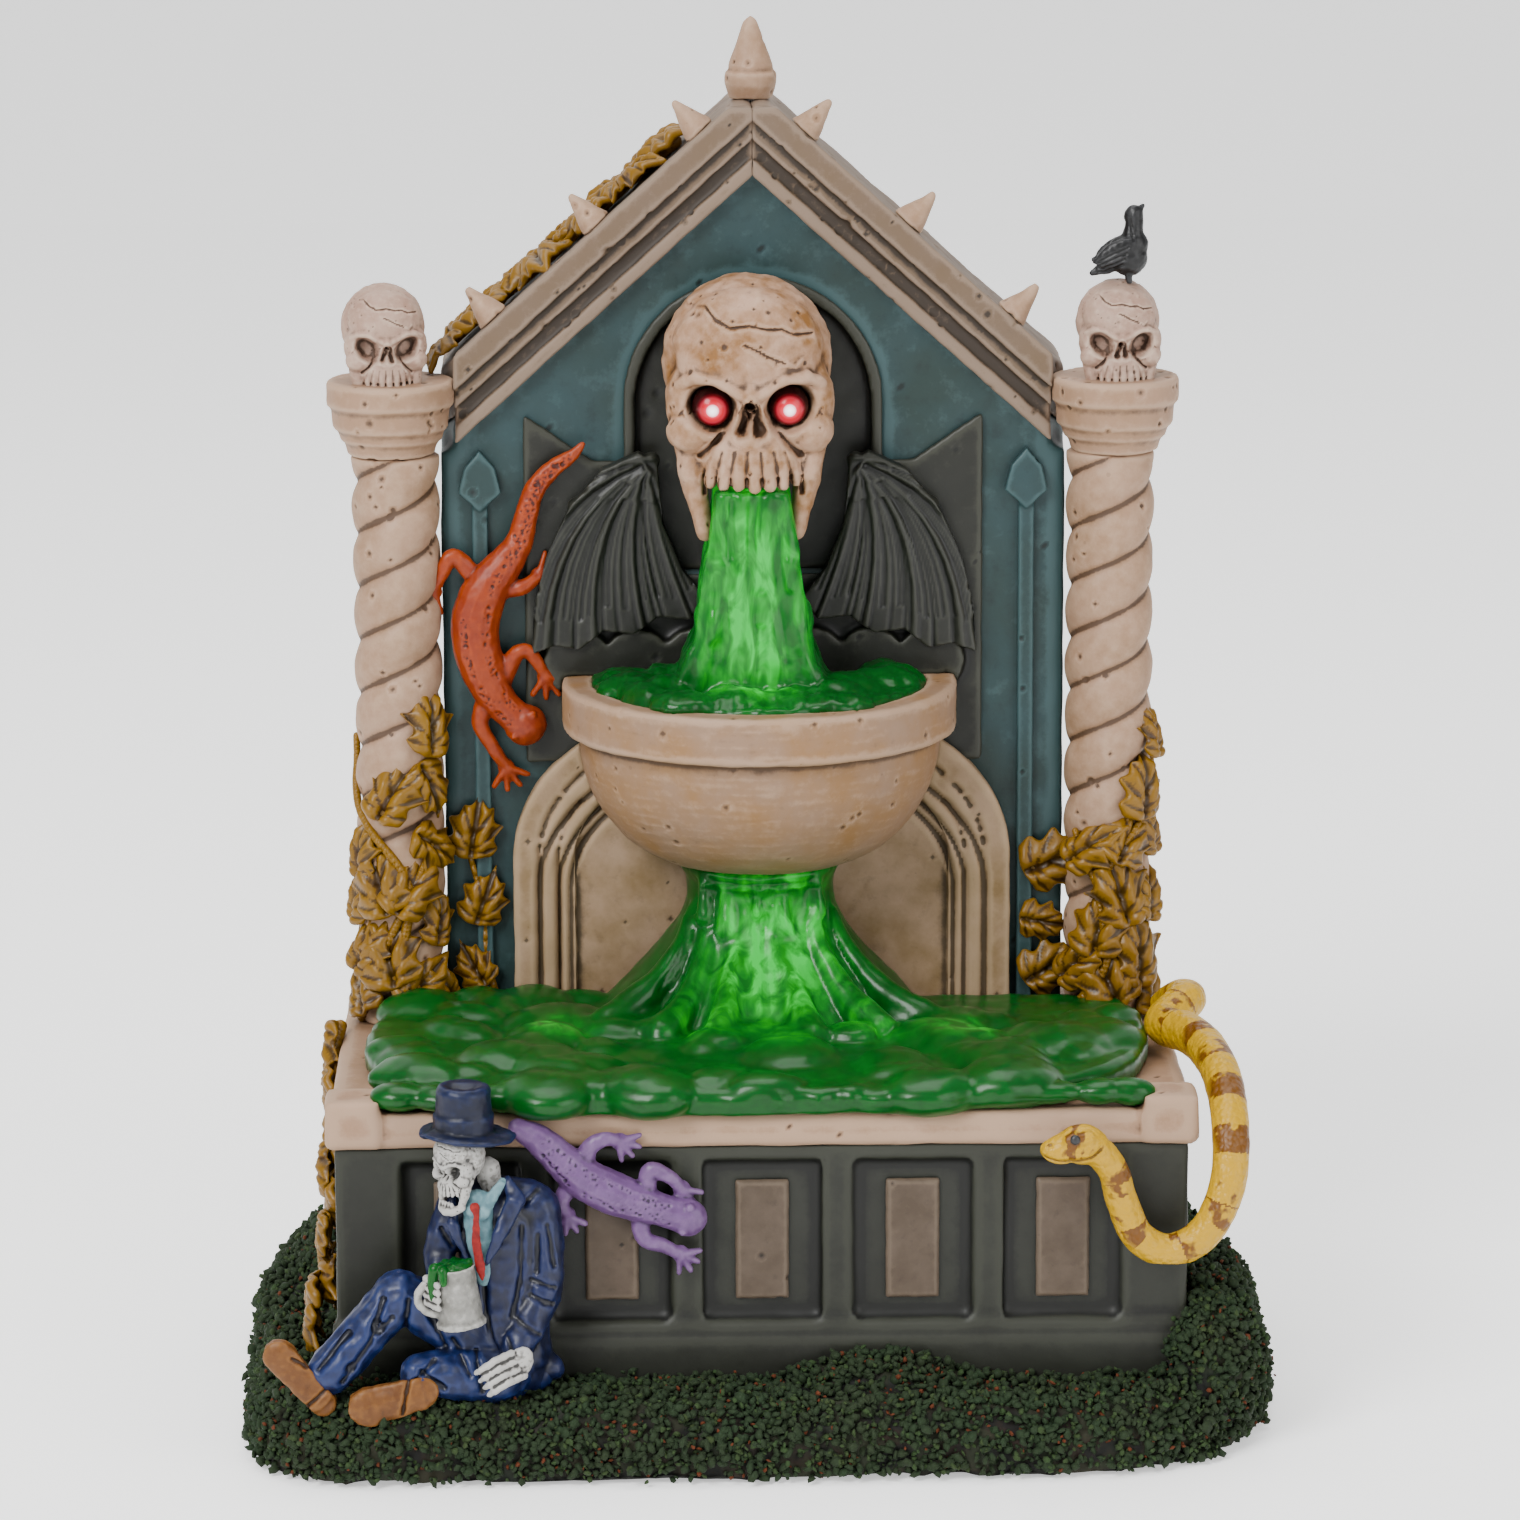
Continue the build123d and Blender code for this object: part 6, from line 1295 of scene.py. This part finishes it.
# ------------------------------------------------------------------ ivy
class Ivy:
    """Lobed, veined leaves on winding stems."""

    LOBES = ((0.0, -0.60), (0.24, -0.66), (0.66, -0.50), (0.82, -0.22), (0.62, -0.04), (0.96, 0.40), (0.58, 0.44),
             (0.52, 0.80), (0.28, 0.76), (0.0, 1.24))
    LEFT = ((-42, 80.6, 3.6, 12), (-38, 74.0, 3.0, 200), (10, 72.2, 3.8, 35), (-40, 66.0, 3.0, 160), (24, 60.2, 3.9, -25),
            (-10, 60.0, 3.9, 40), (-50, 55.4, 3.0, 15), (14, 51.2, 4.2, -15), (50, 52.0, 3.6, 30), (58, 64.0, 3.0, 5),
            (56, 46.4, 3.4, -30), (-20, 47.4, 3.4, 60), (70, 58.0, 3.0, 20), (-60, 47.2, 3.2, -40))
    RIGHT = ((70, 78.6, 2.9, 5), (46, 71.6, 3.6, 10), (-32, 64.6, 3.4, 65), (14, 58.4, 3.9, -20), (-14, 54.0, 3.6, 15),
             (58, 58.0, 3.4, 30), (38, 50.4, 4.0, 0), (0, 47.4, 4.0, -30), (-46, 49.4, 3.4, 60), (66, 66.0, 2.8, -15),
             (20, 65.4, 3.2, 40), (62, 45.6, 3.4, 10))

    def __init__(self) -> None:
        """Cut three kinds of leaf to use again and again."""
        self.kinds = [self._leaf(seed) for seed in (1, 2, 3)]

    def _leaf(self, seed: int) -> Cast:
        """One leaf of unit size, face to -Y, tip to +Z, domed and veined."""
        rng = random.Random(seed)
        right = [(x * rng.uniform(0.9, 1.1), z * rng.uniform(0.94, 1.06)) for x, z in self.LOBES]
        left = [(-x * rng.uniform(0.9, 1.1), z) for x, z in reversed(right[1:-1])]
        outline = [(x * 8.6, z * 11) for x, z in right + left]
        skin = Clay().relief(outline, -1.2, 2.4).fuse(0.62, 3)
        spread = np.hypot(skin.at[:, 0], skin.at[:, 2]) / 10
        skin.at[:, 1] += 1.6 * spread ** 2 - 1.5 * np.exp(-((np.abs(skin.at[:, 0]) - 2.6) / 2.2) ** 2)
        skin.score([(0, -5.5), (0, 10.5)], 1.3, 0.9)
        for root, x, z in ((-4.6, 7.4, -2.2), (-4.0, 7.4, 4.2), (0.6, 4.2, 8.0)):
            for s in (-1, 1):
                skin.score([(0, root), (s * x * 0.5, (root + z) * 0.5 - 0.5), (s * x, z)], 1.0, 0.75)
                skin.score([(s * x * 0.3, (root + z) * 0.4 + 1.4), (s * x * 0.85, z + 1.8)], 0.9, -0.35)
        skin.rough(6.0, 0.6, seed)
        skin.outward()
        return skin

    def _hang(self, clay: Clay, kind: int, place: Matrix, size: float) -> None:
        """Add one leaf to a group."""
        leaf = self.kinds[kind % 3].mesh.copy()
        leaf.transform(place @ Matrix.Scale(size * 0.135, 4))
        clay.bm.from_mesh(leaf)
        bpy.data.meshes.remove(leaf)

    def _stem(self, clay: Clay, points: Sequence[Point], girth: float) -> None:
        """Add one smooth stem to a group."""
        path = curve(points, 5)
        clay.rod(path, list(np.linspace(girth, girth * 0.6, len(path))), sides=8)

    def _pillar(self, side: int, places: Sequence[Sequence[float]], name: str) -> None:
        """Leaves round a shaft, with one stem that winds between them."""
        clay = Clay()
        for i, (bearing, z, size, spin) in enumerate(places):
            a = math.radians(bearing)
            out = Vector((math.sin(a) * side, -math.cos(a), 0.1)).normalized()
            foot = Vector((side * 44.8, 18.0, z)) + out * 5.9
            turn = Matrix.Rotation(math.radians(bearing * side), 4, "Z")
            roll = Matrix.Rotation(math.radians(spin * 0.8), 4, "Y")
            nod = Matrix.Rotation(math.radians(-14 + 9 * math.sin(i * 2.3)), 4, "X")
            self._hang(clay, i, Matrix.Translation(foot) @ turn @ nod @ roll, size)
        turns = [(math.radians(-60 + 150 * t + 26 * math.sin(9 * t)), 43.4 + 36 * t) for t in np.linspace(0, 1, 13)]
        self._stem(clay, [(side * 44.8 + side * math.sin(a) * 5.6, 18 - math.cos(a) * 5.6, z) for a, z in turns], 0.75)
        turns = [(math.radians(70 - 120 * t), 43.4 + 24 * t) for t in np.linspace(0, 1, 9)]
        self._stem(clay, [(side * 44.8 + side * math.sin(a) * 5.6, 18 - math.cos(a) * 5.6, z) for a, z in turns], 0.7)
        for x, z, size, spin in (((-35.6, 66.6, 3.3, 10), (-34.6, 57.6, 3.0, 20), (-35.4, 49.0, 2.6, -30)) if side < 0 else
                                 ((37.4, 62.6, 3.8, 70), (37.0, 48.6, 3.4, 60), (36.0, 55.0, 2.6, 100))):
            roll = Matrix.Rotation(math.radians(spin), 4, "Y")
            self._hang(clay, 1, Matrix.Translation((x, 17.4, z)) @ roll, size)
        if side < 0:
            self._stem(clay, [(-32.6, 18.2, 44), (-34.2, 18.2, 50), (-34.4, 18.2, 57), (-36.2, 18.2, 64)], 0.6)
        clay.keep().piece(f"ivy_{name}_casting", Paint.IVY, "ivy_paint", [f"ivy_{name}"])

    def _roof(self) -> None:
        """Ivy lying along the left slope of the roof."""
        clay = Clay()
        lean = Matrix.Rotation(math.radians(-42), 4, "Y") @ Matrix.Rotation(math.radians(-90), 4, "X")
        for i in range(15):
            t = i / 14
            x, z = -10.6 - 28.0 * t, 153.0 - 25.2 * t
            y = 27.5 + 3.2 * math.sin(i * 2.1)
            spin = Matrix.Rotation(math.radians(i * 67), 4, "Y")
            self._hang(clay, i, Matrix.Translation((x, y, z + 0.5)) @ lean @ spin, 3.4 + 0.6 * math.sin(i * 1.7))
        self._stem(clay, [(-9.5 - 29 * t, 27 + 1.6 * math.sin(9 * t), 153.6 - 26.2 * t) for t in np.linspace(0, 1, 10)],
                   0.9)
        clay.keep().piece("ivy_roof_casting", Paint.IVY, "ivy_paint", ["ivy_roof"])

    def _end(self) -> None:
        """Ivy hanging over the left end of the trough to the turf."""
        clay = Clay()
        places = ((8, 41.6, 3.6), (4, 37.6, 3.2), (-1, 34.0, 3.7), (-5, 29.8, 3.2), (-7, 26.4, 3.4), (-10, 22.2, 3.4),
                  (-12, 18.4, 3.7), (-16, 16.0, 3.4), (-18, 13.4, 3.2), (0, 27.6, 2.6), (-14, 24.0, 2.6))
        for i, (y, z, size) in enumerate(places):
            side = Matrix.Rotation(math.radians(-90), 4, "Z")
            spin = Matrix.Rotation(math.radians(160 + 55 * math.sin(i * 1.9)), 4, "Y")
            out = 1.0 + 0.5 * math.sin(i * 2.7) + (1.6 if z < 17 else 0)
            self._hang(clay, i, Matrix.Translation((-52.4 - out, y, z)) @ side @ spin, size)
        self._stem(clay, [(-52.6, 10.6, 43.6), (-53.6, 6, 39), (-53.4, -2, 31), (-53.6, -9, 23), (-54.6, -15, 15)], 0.9)
        clay.keep().piece("ivy_side_casting", Paint.IVY, "ivy_paint", ["ivy_side"])

    def build(self) -> None:
        """Make the four groups."""
        self._pillar(-1, self.LEFT, "left")
        self._pillar(1, self.RIGHT, "right")
        self._roof()
        self._end()


# ------------------------------------------------------------------ inside and under the casting
class Works:
    """Finishes for the CAD nodes that keep their own shape."""

    FINISHES = {
        "eye_led_left": (LedLens("red_epoxy_led_left", (-5.2, 4.0, 123.1)), "red_led"),
        "eye_led_right": (LedLens("red_epoxy_led_right", (4.3, 4.0, 123.1)), "red_led"),
        "spout_led": (PlainStock("green_epoxy_led", "#2fae4c", "#1f8f3c", roughness=0.12), "green_led"),
        "fall_led": (PlainStock("green_epoxy_led", "#2fae4c", "#1f8f3c", roughness=0.12), "green_led"),
        "pool_leds": (PlainStock("green_epoxy_led", "#2fae4c", "#1f8f3c", roughness=0.12), "green_led"),
        "eye_leads": (Paint.RED_WIRE, "red_wire"),
        "green_leads": (Paint.BLACK_WIRE, "black_wire"),
        "supply_leads": (Paint.RED_WIRE, "red_wire"),
        "led_board": (Paint.BOARD, "circuit_board"),
        "board_parts": (Paint.ABS, "chip_plastic"),
        "bottom_plate": (Paint.ABS, "black_plastic"),
        "plate_screws": (Paint.STEEL, "screw_steel"),
        "battery_box": (Paint.ABS, "black_plastic"),
        "battery_cells": (Paint.SLEEVE, "cell_sleeve"),
        "contact_springs": (Paint.STEEL, "spring_steel"),
        "contact_plates": (Paint.STEEL, "spring_steel"),
        "battery_door": (Paint.ABS, "black_plastic"),
        "switch_body": (Paint.ABS, "black_plastic"),
        "switch_slider": (Paint.ABS, "black_plastic"),
        "switch_screws": (Paint.STEEL, "screw_steel"),
    }

    def build(self) -> None:
        """Give each node its material."""
        for name, (finish, slot) in self.FINISHES.items():
            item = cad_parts[name]
            item.data.materials.clear()
            item.data.materials.append(Paint.of(finish))


# ------------------------------------------------------------------ floor, lights and camera
class Studio:
    """A pale table under soft light, seen from the front and a little above."""

    TARGET = Vector((0.0, -0.002, 0.0805))
    DISTANCE = 0.78
    AZIMUTH, ELEVATION, ROLL = -1.0, 12.5, -0.2

    def build(self) -> None:
        """Make the stage."""
        self._floor()
        self._lights()
        self._camera()

    @staticmethod
    def _floor() -> None:
        """A pale table top that curves up behind."""
        bm = bmesh.new()
        profile = [(-2.5, 0.0), (1.1, 0.0), (1.5, 0.08), (1.8, 0.35), (1.9, 0.8), (1.9, 3.0)]
        verts = [bm.verts.new((-3.0, y, z)) for y, z in profile]
        edges = [bm.edges.new(pair) for pair in zip(verts, verts[1:])]
        pushed = bmesh.ops.extrude_edge_only(bm, edges=edges)
        moved = [v for v in pushed["geom"] if isinstance(v, bmesh.types.BMVert)]
        bmesh.ops.translate(bm, verts=moved, vec=(6.0, 0, 0))
        mesh = bpy.data.meshes.new("table_top")
        bm.to_mesh(mesh)
        bm.free()
        item = bpy.data.objects.new("table_top", mesh)
        bpy.context.scene.collection.objects.link(item)
        material = bpy.data.materials.new("pale_matt_board")
        material.use_nodes = True
        shader = next(n for n in material.node_tree.nodes if n.type == "BSDF_PRINCIPLED")
        shader.inputs["Base Color"].default_value = linear("#f4f4f3")
        shader.inputs["Emission Color"].default_value = linear("#ffffff")
        shader.inputs["Emission Strength"].default_value = 0.6
        shader.inputs["Roughness"].default_value = 0.9
        mesh.materials.append(material)

    @staticmethod
    def _lights() -> None:
        """Three soft boxes and a pale room."""
        for name, place, size, power in (("key", (-0.55, -0.75, 0.75), 0.5, 18.0), ("fill", (0.75, -0.7, 0.4), 0.7, 7.0),
                                         ("top", (0.0, 0.1, 1.0), 0.7, 8.0)):
            data = bpy.data.lights.new(name, "AREA")
            data.size, data.energy = size, power
            lamp = bpy.data.objects.new(name, data)
            lamp.location = place
            lamp.rotation_euler = (Vector((0, 0, 0.08)) - Vector(place)).to_track_quat("-Z", "Y").to_euler()
            bpy.context.scene.collection.objects.link(lamp)
        world = bpy.data.worlds.new("pale_room")
        world.use_nodes = True
        shade = next(n for n in world.node_tree.nodes if n.type == "BACKGROUND")
        shade.inputs["Color"].default_value = linear("#f4f5f7")
        shade.inputs["Strength"].default_value = 0.45
        bpy.context.scene.world = world

    def _camera(self) -> None:
        """A long lens, square to the front."""
        data = bpy.data.cameras.new("camera")
        data.lens, data.sensor_width = 149.7, 36.0
        data.clip_start, data.clip_end = 0.01, 20.0
        data.shift_x = 0.002
        turn, rise = math.radians(self.AZIMUTH), math.radians(self.ELEVATION)
        back = Vector((math.sin(turn) * math.cos(rise), -math.cos(turn) * math.cos(rise), math.sin(rise)))
        item = bpy.data.objects.new("camera", data)
        aim = (-back).to_track_quat("-Z", "Y").to_matrix().to_4x4()
        roll = Matrix.Rotation(math.radians(self.ROLL), 4, "Z")
        item.matrix_world = Matrix.Translation(self.TARGET + back * self.DISTANCE) @ aim @ roll
        bpy.context.scene.collection.objects.link(item)
        bpy.context.scene.camera = item


def main() -> None:
    """Build every piece around the frame."""
    Building().build()
    skull = Skull(0.26, True, 3)
    lit = skull.skin.place(Matrix.Translation((-0.5, 0, 0))).clip(high=(None, 18.3, None))
    lit.piece("big_skull_casting", Paint.BONE, "bone_paint", ["main_skull"])
    for side, name, turn in ((-1, "left", 7.0), (1, "right", 1.0)):
        small = Skull(0.34, False, 5 + side).at((side * 45.5 + (0.2 if side > 0 else -0.4), 17.2, 124.5), 0.492, turn)
        small.piece(f"skull_{name}_casting", Paint.SMALL_BONE, "bone_paint", [f"skull_{name}"])
    Slime().build()
    Creatures().build()
    Loafer().build()
    Ivy().build()
    Works().build()
    Studio().build()


if __name__ == "__main__":
    main()
